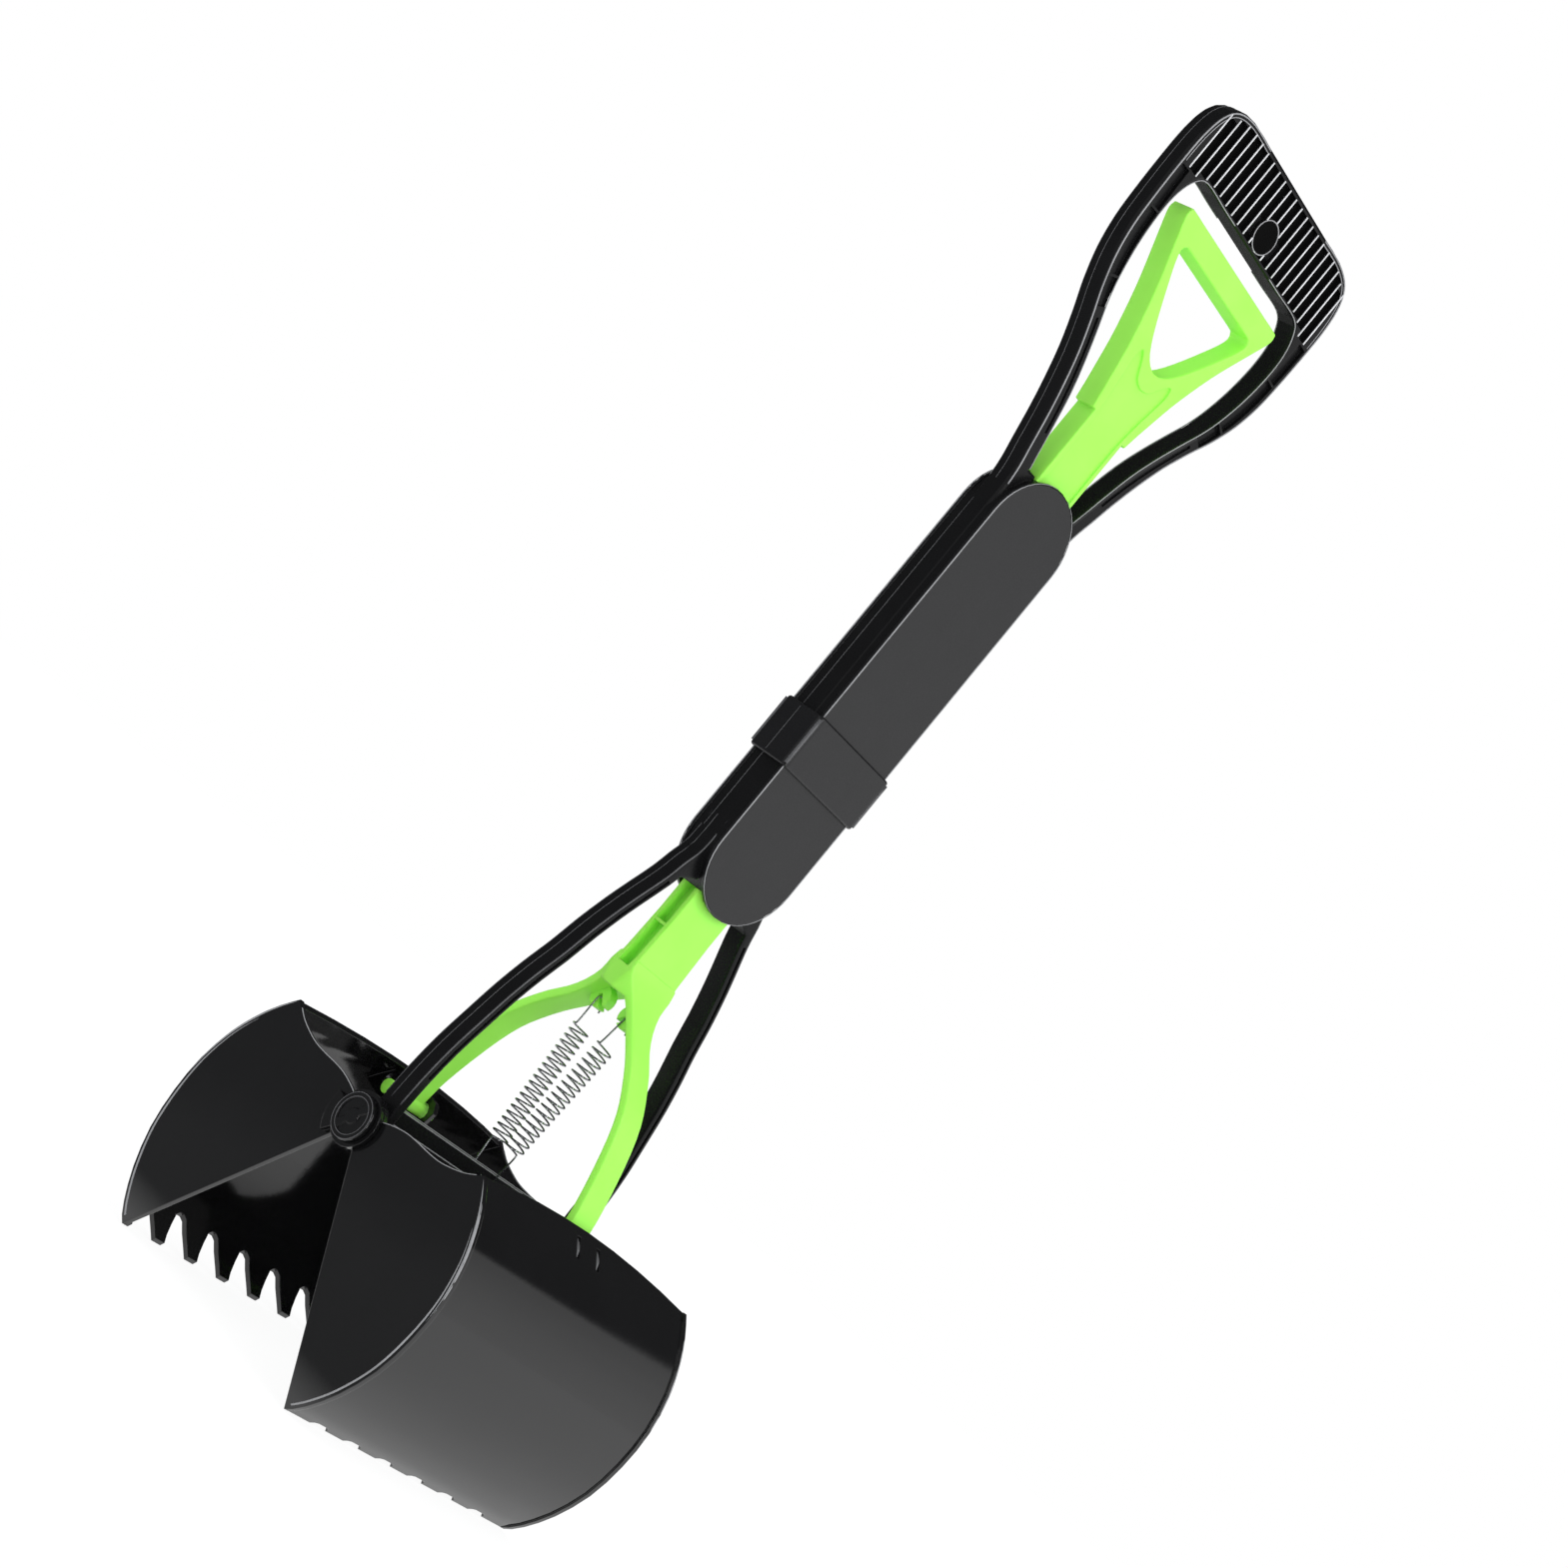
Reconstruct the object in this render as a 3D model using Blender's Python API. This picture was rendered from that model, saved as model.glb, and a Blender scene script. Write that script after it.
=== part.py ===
import math

import bmesh
import bpy
from mathutils import Matrix, Vector

# A long-handled pooper scooper with two toothed jaws, an inner pull slide and a D-handle.
# Lengths are in metres. Heights along the handle are measured from the jaws' hinge axis.

for thing in list(bpy.data.objects):
    bpy.data.objects.remove(thing, do_unlink=True)

mm = 0.001

# Jaws
jaw_width = 150 * mm
jaw_reach = 118.6 * mm
jaw_bulge = 70.5 * mm
jaw_wall = 2.4 * mm
jaw_rim = 0.7 * mm
open_angle = math.radians(34.7)
mating_gap = 0.2 * mm
tooth_count = 6
tooth_length = 16.5 * mm
tooth_tip = 5.4 * mm
gullet_width = 8.0 * mm
scallop_width = 10.0 * mm
scallop_depth = 2.8 * mm
scallop_shares = [
    (0.15, 0.49),
    (0.7, 0.42),
    (1.0, 0.27),
    (1.0, -0.27),
    (0.7, -0.42),
    (0.15, -0.49),
]
top_arch = 6.5 * mm

# Hinge
ear_radius = 12.5 * mm
ear_thickness = 2.4 * mm
pivot_radius = 4.0 * mm
pivot_head_radius = 10.6 * mm
pivot_head_height = 2.4 * mm
eye_radius = 8.0 * mm
running_gap = 0.3 * mm

# Case
case_bottom = 153.0 * mm
lower_case_length = 78.5 * mm
upper_case_length = 152.5 * mm
case_split = case_bottom + lower_case_length
case_top = case_split + upper_case_length
case_half_width = 27.0 * mm
case_half_depth = 10.4 * mm
cover_plate = 2.0 * mm
cover_edge = 0.7 * mm
seam_gap = 0.2 * mm
rail_width = 12.4 * mm
channel_half_width = case_half_width - rail_width
lap_length = 8.0 * mm

# Handle
grip_top = 549.5 * mm
grip_depth = 33.0 * mm
grip_half_width = 69.5 * mm
opening_half_width = 58.5 * mm
arm_half_depth = 5.75 * mm
arm_edge_round = 1.6 * mm
leg_half_depth = 5.85 * mm
leg_width = 5.4 * mm
leg_inset = 6.3 * mm
leg_half_spread = jaw_width / 2 - leg_inset

# Pull
pull_travel = 38.0 * mm
stem_side_gap = 0.8 * mm
stem_half_width = channel_half_width - stem_side_gap
stem_half_depth = 6.0 * mm
shoulder_step = 2.3 * mm
finger_gap = 11.0 * mm
pull_bar_top = grip_top - grip_depth - finger_gap
pull_bar_depth = 12.0 * mm
pull_window_height = 44.0 * mm
crotch_height = pull_bar_top - pull_bar_depth - pull_window_height
shoulder_drop = 30.5 * mm
shoulder_height = crotch_height - shoulder_drop
pull_half_width = 46.0 * mm
fork_crotch = 104.0 * mm
fork_half_width = 7.0 * mm
fork_arm_thickness = 4.4 * mm
fork_pin_inset = 10.5 * mm
fork_pin_x = jaw_bulge - fork_pin_inset
fork_pin_z = 11.0 * mm
fork_pin_radius = 3.5 * mm
fork_pin_length = 31.0 * mm

# Springs
wire_radius = 0.4 * mm
coil_radius = 4.2 * mm
coil_count = 19
coil_points = 8
spring_bar_half_depth = 3.0 * mm
spring_bar_height = 6.5 * mm
spring_bar_top = 13.0 * mm

overrun = 1.0 * mm

hinge_height = jaw_reach * math.cos(open_angle) + mating_gap * math.sin(open_angle)
hinge = Vector((0, 0, hinge_height))

# Helpers


def material(name, colour, roughness, metallic=0.0):
    made = bpy.data.materials.new(name)
    made.use_nodes = True
    shader = made.node_tree.nodes["Principled BSDF"]
    shader.inputs["Base Color"].default_value = (*colour, 1)
    shader.inputs["Roughness"].default_value = roughness
    shader.inputs["Metallic"].default_value = metallic
    return made


def add_object(name, bm, look=None, helper=False):
    bmesh.ops.recalc_face_normals(bm, faces=bm.faces)
    mesh = bpy.data.meshes.new(name)
    bm.to_mesh(mesh)
    bm.free()
    obj = bpy.data.objects.new(name, mesh)
    bpy.context.scene.collection.objects.link(obj)
    if look is not None:
        mesh.materials.append(look)
    if helper:
        obj.hide_render = True
        obj.display_type = "WIRE"
    return obj


def onto(axis, u, v, w):
    """A point given by its two outline coordinates and its place along the extrusion axis."""
    if axis == "X":
        return Vector((w, u, v))
    if axis == "Y":
        return Vector((u, w, v))
    return Vector((u, v, w))


def add_prism(bm, axis, polygons, low, high, bevel_low=False, bevel_high=False):
    """Extrudes polygons that share borders into one closed solid, marking rims that are to be rounded."""
    weight = bm.edges.layers.float.get("bevel_weight_edge")
    if weight is None:
        weight = bm.edges.layers.float.new("bevel_weight_edge")
    lower = {}
    upper = {}
    uses = {}
    for polygon in polygons:
        for u, v in polygon:
            if (u, v) not in lower:
                lower[u, v] = bm.verts.new(onto(axis, u, v, low))
                upper[u, v] = bm.verts.new(onto(axis, u, v, high))
        bm.faces.new([lower[p] for p in polygon])
        bm.faces.new([upper[p] for p in polygon])
        for i, p in enumerate(polygon):
            q = polygon[(i + 1) % len(polygon)]
            key = frozenset((p, q))
            uses[key] = uses.get(key, 0) + 1
    for key, count in uses.items():
        if count > 1:
            continue
        p, q = key
        bm.faces.new([lower[p], lower[q], upper[q], upper[p]])
        if bevel_low:
            bm.edges.get((lower[p], lower[q]))[weight] = 1
        if bevel_high:
            bm.edges.get((upper[p], upper[q]))[weight] = 1


def prism(name, axis, polygons, low, high, look=None, helper=False, rims=(False, False)):
    bm = bmesh.new()
    add_prism(bm, axis, polygons, low, high, *rims)
    return add_object(name, bm, look, helper)


def round_rims(obj, width, segments=2):
    bevel = obj.modifiers.new("round_rims", "BEVEL")
    bevel.limit_method = "WEIGHT"
    bevel.offset_type = "OFFSET"
    bevel.width = width
    bevel.segments = segments
    bevel.use_clamp_overlap = True


def boolean(obj, other, operation):
    step = obj.modifiers.new(operation.lower() + "_" + other.name, "BOOLEAN")
    step.operation = operation
    step.object = other
    step.solver = "EXACT"


def rectangle(u0, u1, v0, v1):
    return [(u0, v0), (u1, v0), (u1, v1), (u0, v1)]


def ring(centre_u, centre_v, radius, count, turn=0.0):
    return [
        (
            centre_u + radius * math.cos(turn + 2 * math.pi * i / count),
            centre_v + radius * math.sin(turn + 2 * math.pi * i / count),
        )
        for i in range(count)
    ]


def rounded_rectangle(half_u, half_v, radius, steps):
    points = []
    for quadrant, (su, sv) in enumerate(((1, 1), (-1, 1), (-1, -1), (1, -1))):
        for i in range(steps + 1):
            angle = math.pi / 2 * (quadrant + i / steps)
            points.append(
                (
                    su * (half_u - radius) + radius * math.cos(angle),
                    sv * (half_v - radius) + radius * math.sin(angle),
                )
            )
    return points


def smooth_path(points, steps):
    """A curve through the points, with this many steps between one point and the next."""
    ends = [points[0]] + list(points) + [points[-1]]
    found = []
    for i in range(1, len(ends) - 2):
        p0, p1, p2, p3 = (Vector(p) for p in ends[i - 1 : i + 3])
        for k in range(steps):
            t = k / steps
            found.append(
                tuple(
                    0.5
                    * (
                        2 * p1
                        + (p2 - p0) * t
                        + (2 * p0 - 5 * p1 + 4 * p2 - p3) * t * t
                        + (3 * p1 - p0 - 3 * p2 + p3) * t * t * t
                    )
                )
            )
    found.append(tuple(points[-1]))
    return found


def offset_path(points, distance):
    """The path moved sideways, to the right of its direction, by a distance or by one for each point."""
    moved = []
    for i, point in enumerate(points):
        before = Vector(points[max(i - 1, 0)])
        after = Vector(points[min(i + 1, len(points) - 1)])
        along = (after - before).normalized()
        by = distance[i] if isinstance(distance, list) else distance
        moved.append((point[0] + along.y * by, point[1] - along.x * by))
    return moved


def mirrored(points):
    return [(-u, v) for u, v in points]


def from_hinge(points):
    return [(u, v + hinge_height) for u, v in points]


def half_circle(centre_v, radius, steps, upward=True):
    """Points from the right end of a half circle to its left end."""
    sign = 1 if upward else -1
    return [
        (
            radius * math.cos(math.pi * i / steps),
            centre_v + sign * radius * math.sin(math.pi * i / steps),
        )
        for i in range(steps + 1)
    ]


black_satin = material("black_satin_pp", (0.031, 0.031, 0.034), 0.42)
black_gloss = material("black_gloss_abs", (0.011, 0.011, 0.012), 0.14)
lime = material("lime_green_pp", (0.27, 0.83, 0.13), 0.36)
steel = material("spring_steel", (0.62, 0.63, 0.65), 0.25, 1.0)
zinc = material("zinc_plated_steel", (0.55, 0.56, 0.58), 0.34, 1.0)

# Handle outline: the D, its arms and the rails of the case

handle_rise = grip_top - case_top
outer_handle_shares = [
    (0.0, -0.16),
    (0.0, -0.09),
    (0.03, -0.04),
    (0.095, 0.02),
    (0.18, 0.10),
    (0.28, 0.178),
    (0.41, 0.262),
    (0.58, 0.345),
    (0.735, 0.412),
    (0.875, 0.492),
    (0.955, 0.575),
    (0.985, 0.66),
    (1.0, 0.76),
    (0.995, 0.86),
    (0.93, 0.935),
    (0.78, 0.98),
    (0.5, 1.0),
    (0.1, 1.0),
]
opening_rise = grip_top - grip_depth - case_top
inner_handle_shares = [
    (0.14, -0.025),
    (0.19, 0.03),
    (0.275, 0.13),
    (0.375, 0.235),
    (0.505, 0.335),
    (0.65, 0.43),
    (0.79, 0.518),
    (0.885, 0.6),
    (0.96, 0.7),
    (1.0, 0.81),
    (0.985, 0.9),
    (0.9, 0.968),
    (0.75, 1.0),
    (0.35, 1.0),
    (0.1, 1.0),
]
handle_spread = grip_half_width - case_half_width
opening_spread = opening_half_width - channel_half_width
outer_handle = smooth_path(
    [
        (case_half_width + handle_spread * y, case_top + handle_rise * z)
        for y, z in outer_handle_shares
    ],
    2,
)
inner_handle = smooth_path(
    [
        (channel_half_width + opening_spread * y, case_top + opening_rise * z)
        for y, z in inner_handle_shares
    ],
    2,
)
seat_height = shoulder_height - pull_travel - running_gap
upper_rail_foot = case_split + seam_gap / 2
right_half = (
    [(channel_half_width, upper_rail_foot), (case_half_width, upper_rail_foot)]
    + outer_handle
    + [(0, grip_top), (0, grip_top - grip_depth)]
    + inner_handle[::-1]
    + [(channel_half_width, seat_height)]
)
upper_frame = prism(
    "upper_frame",
    "X",
    [from_hinge(right_half), from_hinge(mirrored(right_half)[::-1])],
    -arm_half_depth,
    arm_half_depth,
    black_satin,
    rims=(True, True),
)
round_rims(upper_frame, arm_edge_round)

# Thicker rails inside the case, shaped like its covers and set in a little at their ends

rail_half_depth = case_half_depth - cover_plate - seam_gap
rail_inset = 0.25 * mm
end_steps = 8


def rail_blocks(name, foot, top_centre, upward):
    """The two rails between the covers: a stadium end with the slide channel taken out of its middle."""
    end = half_circle(top_centre, case_half_width - rail_inset, end_steps, upward)
    right = [p for p in end if p[0] > channel_half_width]
    reach = math.sqrt((case_half_width - rail_inset) ** 2 - channel_half_width**2)
    tip = top_centre + (reach if upward else -reach)
    polygon = (
        [(channel_half_width, foot), (case_half_width - rail_inset, foot)]
        + right
        + [(channel_half_width, tip)]
    )
    bm = bmesh.new()
    add_prism(bm, "X", [from_hinge(polygon)], -rail_half_depth, rail_half_depth)
    add_prism(
        bm, "X", [from_hinge(mirrored(polygon)[::-1])], -rail_half_depth, rail_half_depth
    )
    return add_object(name, bm, helper=True)


lap_seam = seam_gap / 2
upper_rails = rail_blocks(
    "cutter_upper_rails", upper_rail_foot, case_top - case_half_width, True
)
boolean(upper_frame, upper_rails, "UNION")

# The upper rails' tongues lap the lower ones on their front half

lap_outer = case_half_width - rail_inset - overrun
lap_inner = channel_half_width + overrun


def lap_boxes(name, low, high, near, far):
    bm = bmesh.new()
    for side in (1, -1):
        ends = sorted((side * lap_inner, side * lap_outer))
        add_prism(
            bm,
            "X",
            [from_hinge(rectangle(ends[0], ends[1], low, high))],
            near,
            far,
        )
    return add_object(name, bm, helper=True)


tongue_half_depth = arm_half_depth - overrun
upper_tongues = lap_boxes(
    "cutter_upper_tongues",
    case_split - lap_length,
    case_split + lap_length,
    -tongue_half_depth,
    tongue_half_depth,
)
boolean(upper_frame, upper_tongues, "UNION")

# Grip: fins stand in shallow pockets round a plain boss

fin_pitch = 6.3 * mm
fin_thickness = 1.0 * mm
pocket_depth = 2.0 * mm
grip_rim = 2.6 * mm
grip_foot_rim = 1.2 * mm
boss_radius = 8.0 * mm
boss_drop_share = 0.73
tie_width = 1.1 * mm
tie_shares = (0.459, 0.647, 0.78)


def height_at(points, y, lowest):
    """The highest place where the outline passes this distance from the middle, or the lowest one given."""
    found = [lowest]
    for (y0, z0), (y1, z1) in zip(points[:-1], points[1:]):
        if y0 != y1 and min(y0, y1) <= y <= max(y0, y1):
            found.append(z0 + (z1 - z0) * (y - y0) / (y1 - y0))
    return max(found)


def grip_pockets(name):
    outer_grip = [*outer_handle, (0, grip_top)]
    inner_grip = [*inner_handle, (0, grip_top - grip_depth)]
    last_tie = case_top + handle_rise * tie_shares[-1] + tie_width / 2
    columns = int(grip_half_width / fin_pitch) + 1
    bm = bmesh.new()
    for column in range(-columns, columns):
        left = column * fin_pitch + fin_thickness / 2
        right = (column + 1) * fin_pitch - fin_thickness / 2
        near = min(abs(left), abs(right))
        reach = max(abs(left), abs(right))
        if reach > grip_half_width - grip_rim:
            continue
        top = height_at(outer_grip, reach, case_top) - grip_rim
        foot = max(height_at(inner_grip, near, case_top), height_at(inner_grip, reach, case_top))
        foot += grip_foot_rim
        if reach > opening_half_width - grip_rim:
            foot = max(foot, last_tie)
        if top - foot < fin_pitch:
            continue
        for side in (1, -1):
            ends = sorted((side * (arm_half_depth - pocket_depth), side * (arm_half_depth + overrun)))
            add_prism(bm, "X", [from_hinge(rectangle(left, right, foot, top))], ends[0], ends[1])
    return add_object(name, bm, helper=True)


grip_cut = grip_pockets("cutter_grip_pockets")
boss = prism(
    "cutter_grip_boss",
    "X",
    [from_hinge(ring(0, grip_top - grip_depth * boss_drop_share, boss_radius, 24))],
    -arm_half_depth - 2 * overrun,
    arm_half_depth + 2 * overrun,
    helper=True,
)
boolean(grip_cut, boss, "DIFFERENCE")
boolean(upper_frame, grip_cut, "DIFFERENCE")

# Grooves along the arms, widening beside the opening to a channel crossed by thin ties

groove_half_width = 0.8 * mm
channel_half_breadth = 2.9 * mm
groove_depth = 1.1 * mm
groove_start_share = 0.07
groove_end_share = 0.36
channel_start_share = 0.385


def stretch_of(path, low, high, stride):
    """The part of a rising path between two heights, with every so many of its points."""

    def place(height):
        for (y0, z0), (y1, z1) in zip(path[:-1], path[1:]):
            if z0 <= height <= z1:
                return (y0 + (y1 - y0) * (height - z0) / (z1 - z0), height)
        return path[-1]

    between = [p for p in path if low < p[1] < high]
    return [place(low), *between[stride // 2 : -1 : stride], place(high)]


def arm_grooves(name):
    middle_shares = [
        (0.04, 0.03),
        (0.115, 0.10),
        (0.22, 0.178),
        (0.36, 0.262),
        (0.52, 0.345),
        (0.66, 0.412),
        (0.79, 0.492),
        (0.87, 0.575),
        (0.905, 0.66),
        (0.93, 0.76),
        (0.93, 0.84),
        (0.92, 0.92),
    ]
    inset = arm_edge_round + groove_half_width
    path = smooth_path(
        [
            (case_half_width - inset + handle_spread * y, case_top + handle_rise * z)
            for y, z in middle_shares
        ],
        5,
    )
    half_tie = tie_width / handle_rise / 2
    stops = [channel_start_share - half_tie, *tie_shares]
    pieces = [(groove_start_share, groove_end_share, groove_half_width, groove_depth, 3)]
    for low, high in zip(stops[:-1], stops[1:]):
        pieces.append((low + half_tie, high - half_tie, channel_half_breadth, pocket_depth, 2))
    bm = bmesh.new()
    for low, high, width, depth, stride in pieces:
        piece = stretch_of(
            path, case_top + handle_rise * low, case_top + handle_rise * high, stride
        )
        polygon = offset_path(piece, width) + offset_path(piece, -width)[::-1]
        for side in (1, -1):
            ends = sorted((side * (arm_half_depth - depth), side * (arm_half_depth + overrun)))
            add_prism(bm, "X", [from_hinge(polygon)], ends[0], ends[1])
            add_prism(bm, "X", [from_hinge(mirrored(polygon)[::-1])], ends[0], ends[1])
    return add_object(name, bm, helper=True)


arm_groove_cut = arm_grooves("cutter_arm_grooves")
boolean(upper_frame, arm_groove_cut, "DIFFERENCE")

# Lower frame: rails, bowed legs, hinge eyes and the bar that anchors the springs

outer_leg_shares = [
    (0.0, 1.22),
    (0.007, 1.124),
    (0.084, 1.059),
    (0.151, 1.0),
    (0.283, 0.915),
    (0.379, 0.85),
    (0.487, 0.765),
    (0.583, 0.673),
    (0.691, 0.588),
    (0.787, 0.497),
    (0.871, 0.392),
    (0.942, 0.294),
    (0.983, 0.196),
    (1.0, 0.098),
    (1.0, 0.0),
]
leg_bow = leg_half_spread - case_half_width
outer_leg = smooth_path(
    [(case_half_width + leg_bow * y, case_bottom * z) for y, z in outer_leg_shares], 2
)
inner_leg = [
    p
    for p in offset_path(outer_leg, leg_width)
    if p[1] < case_bottom + leg_width and p[0] > channel_half_width + leg_width
]
lower_rail_head = case_split - seam_gap / 2
eye_inner = leg_half_spread - leg_width
right_leg = (
    [(channel_half_width, lower_rail_head)]
    + [(channel_half_width, case_bottom + leg_width * 1.6)]
    + inner_leg
    + outer_leg[::-1]
    + [(case_half_width, lower_rail_head)]
)
lower_frame = prism(
    "lower_frame",
    "X",
    [from_hinge(right_leg)],
    -leg_half_depth,
    leg_half_depth,
    black_satin,
    rims=(True, True),
)
left_leg = prism(
    "cutter_left_leg",
    "X",
    [from_hinge(mirrored(right_leg)[::-1])],
    -leg_half_depth,
    leg_half_depth,
    helper=True,
    rims=(True, True),
)
round_rims(lower_frame, arm_edge_round)
round_rims(left_leg, arm_edge_round)
boolean(lower_frame, left_leg, "UNION")
lower_rails = rail_blocks(
    "cutter_lower_rails", lower_rail_head, case_bottom + case_half_width, False
)
boolean(lower_frame, lower_rails, "UNION")

# Eyes at the leg ends carry the hinge pins and stop just inside the jaws' ears

ear_inner_face = jaw_width / 2 - ear_thickness
eye_outer = ear_inner_face - running_gap


def eyes(name):
    bm = bmesh.new()
    for side in (1, -1):
        ends = sorted((side * eye_inner, side * eye_outer))
        add_prism(bm, "Y", [from_hinge(ring(0, 0, eye_radius, 24))], ends[0], ends[1])
    return add_object(name, bm, helper=True)


boolean(lower_frame, eyes("cutter_eyes"), "UNION")
spring_bar = prism(
    "cutter_spring_bar",
    "Y",
    [
        from_hinge(
            rectangle(
                -spring_bar_half_depth,
                spring_bar_half_depth,
                spring_bar_top - spring_bar_height,
                spring_bar_top,
            )
        )
    ],
    -eye_inner - leg_width / 2,
    eye_inner + leg_width / 2,
    helper=True,
)
boolean(lower_frame, spring_bar, "UNION")


def hinge_bores(name, radius, inner, outer, count=20):
    bm = bmesh.new()
    for side in (1, -1):
        ends = sorted((side * inner, side * outer))
        add_prism(bm, "Y", [from_hinge(ring(0, 0, radius, count))], ends[0], ends[1])
    return add_object(name, bm, helper=True)


eye_bores = hinge_bores(
    "cutter_eye_bores", pivot_radius + running_gap, eye_inner - overrun, eye_outer + overrun
)
boolean(lower_frame, eye_bores, "DIFFERENCE")

socket_gap = 0.25 * mm
tongue_sockets = lap_boxes(
    "cutter_tongue_sockets",
    case_split - lap_length - socket_gap,
    case_split + lap_length,
    -tongue_half_depth - socket_gap,
    tongue_half_depth + socket_gap,
)
for vert in tongue_sockets.data.vertices:
    widen = socket_gap if abs(vert.co.y) > (lap_inner + lap_outer) / 2 else -socket_gap
    vert.co.y += widen if vert.co.y > 0 else -widen
boolean(lower_frame, tongue_sockets, "DIFFERENCE")

# Shallow groove down each leg, front and back


groove_low = 22.0 * mm


def leg_grooves(name):
    middle = offset_path(outer_leg, leg_width / 2)[::2]
    path = [p for p in middle if groove_low < p[1] < case_bottom]
    right = offset_path(path, groove_half_width)
    left = offset_path(path, -groove_half_width)
    polygon = right + left[::-1]
    bm = bmesh.new()
    for side in (1, -1):
        ends = sorted((side * (leg_half_depth - groove_depth), side * (leg_half_depth + overrun)))
        add_prism(bm, "X", [from_hinge(polygon)], ends[0], ends[1])
        add_prism(bm, "X", [from_hinge(mirrored(polygon)[::-1])], ends[0], ends[1])
    return add_object(name, bm, helper=True)


leg_groove_cut = leg_grooves("cutter_leg_grooves")
boolean(lower_frame, leg_groove_cut, "DIFFERENCE")

# Screws run from each rear cover, through the rails, into a boss on the front cover

screw_radius = 1.4 * mm
screw_head_radius = 2.9 * mm
screw_head_height = 1.0 * mm
head_sink = 1.3 * mm
screw_boss_radius = 3.0 * mm
screw_clearance = 0.25 * mm
screw_y = (channel_half_width + case_half_width) / 2
upper_screw_high = case_top - 1.35 * case_half_width
upper_screw_low = case_split + 1.35 * case_half_width
lower_screw = case_bottom + 1.3 * case_half_width
screw_places = [
    (-screw_y, upper_screw_high),
    (screw_y, upper_screw_high),
    (-screw_y, upper_screw_low),
    (screw_y, upper_screw_low),
    (-screw_y, lower_screw),
    (screw_y, lower_screw),
]
boss_foot = -rail_half_depth / 2


def columns(name, places, radius, low, high, count=12, helper=True):
    bm = bmesh.new()
    for y, z in places:
        add_prism(bm, "X", [from_hinge(ring(y, z, radius, count))], low, high)
    return add_object(name, bm, helper=helper)


upper_places = screw_places[:4]
lower_places = screw_places[4:]
rail_bore_radius = screw_boss_radius + screw_clearance
upper_rail_bores = columns(
    "cutter_upper_rail_bores",
    upper_places,
    rail_bore_radius,
    -rail_half_depth - overrun,
    rail_half_depth + overrun,
)
boolean(upper_frame, upper_rail_bores, "DIFFERENCE")
lower_rail_bores = columns(
    "cutter_lower_rail_bores",
    lower_places,
    rail_bore_radius,
    -rail_half_depth - overrun,
    rail_half_depth + overrun,
)
boolean(lower_frame, lower_rail_bores, "DIFFERENCE")

# Covers: plates with a stadium end, guide ribs inside, and bosses on the front ones

guide_side_inset = 2.8 * mm
guide_outer = stem_half_width - guide_side_inset
guide_thickness = 2.2 * mm
guide_gap = 0.35 * mm
guide_top_share = 0.16


def cover(name, foot, head, end_centre, upward, front, places):
    sign = 1 if front else -1
    if upward:
        outline = [(-case_half_width, foot), (case_half_width, foot)]
        outline += half_circle(end_centre, case_half_width, 2 * end_steps, True)[0:]
    else:
        outline = [(case_half_width, head), (-case_half_width, head)]
        outline += half_circle(end_centre, case_half_width, 2 * end_steps, False)[::-1]
    ends = sorted((sign * (case_half_depth - cover_plate), sign * case_half_depth))
    plate = prism(
        name,
        "X",
        [from_hinge(outline)],
        ends[0],
        ends[1],
        black_satin,
        rims=(not front, front),
    )
    round_rims(plate, cover_edge, 1)
    bm = bmesh.new()
    rib_ends = sorted((sign * (stem_half_depth + guide_gap), sign * (case_half_depth - cover_plate / 2)))
    length = case_top - case_split if upward else case_split - case_bottom
    rib_low = foot + guide_top_share * length * (0.2 if upward else 1)
    rib_high = head - guide_top_share * length * (1 if upward else 0.2)
    for side in (1, -1):
        ys = sorted((side * guide_outer, side * (guide_outer - guide_thickness)))
        add_prism(
            bm, "X", [from_hinge(rectangle(ys[0], ys[1], rib_low, rib_high))], rib_ends[0], rib_ends[1]
        )
    if front:
        for y, z in places:
            add_prism(
                bm,
                "X",
                [from_hinge(ring(y, z, screw_boss_radius, 12))],
                boss_foot,
                case_half_depth - cover_plate / 2,
            )
    inside = add_object("cutter_" + name + "_inside", bm, helper=True)
    boolean(plate, inside, "UNION")
    if front:
        pilot = columns(
            "cutter_" + name + "_pilots",
            places,
            screw_radius + screw_clearance,
            boss_foot - overrun,
            case_half_depth - cover_plate,
            12,
        )
    else:
        pilot = columns(
            "cutter_" + name + "_holes",
            places,
            screw_radius + screw_clearance,
            -case_half_depth - overrun,
            -case_half_depth + cover_plate + overrun,
            12,
        )
        sink = columns(
            "cutter_" + name + "_sinks",
            places,
            screw_head_radius + screw_clearance,
            -case_half_depth - overrun,
            -case_half_depth + head_sink,
            12,
        )
        boolean(pilot, sink, "UNION")
    boolean(plate, pilot, "DIFFERENCE")
    return plate


upper_end = case_top - case_half_width
lower_end = case_bottom + case_half_width
for front in (True, False):
    face = "front" if front else "rear"
    cover("upper_" + face + "_cover", upper_rail_foot, case_top, upper_end, True, front, upper_places)
    cover("lower_" + face + "_cover", case_bottom, lower_rail_head, lower_end, False, front, lower_places)

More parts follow.
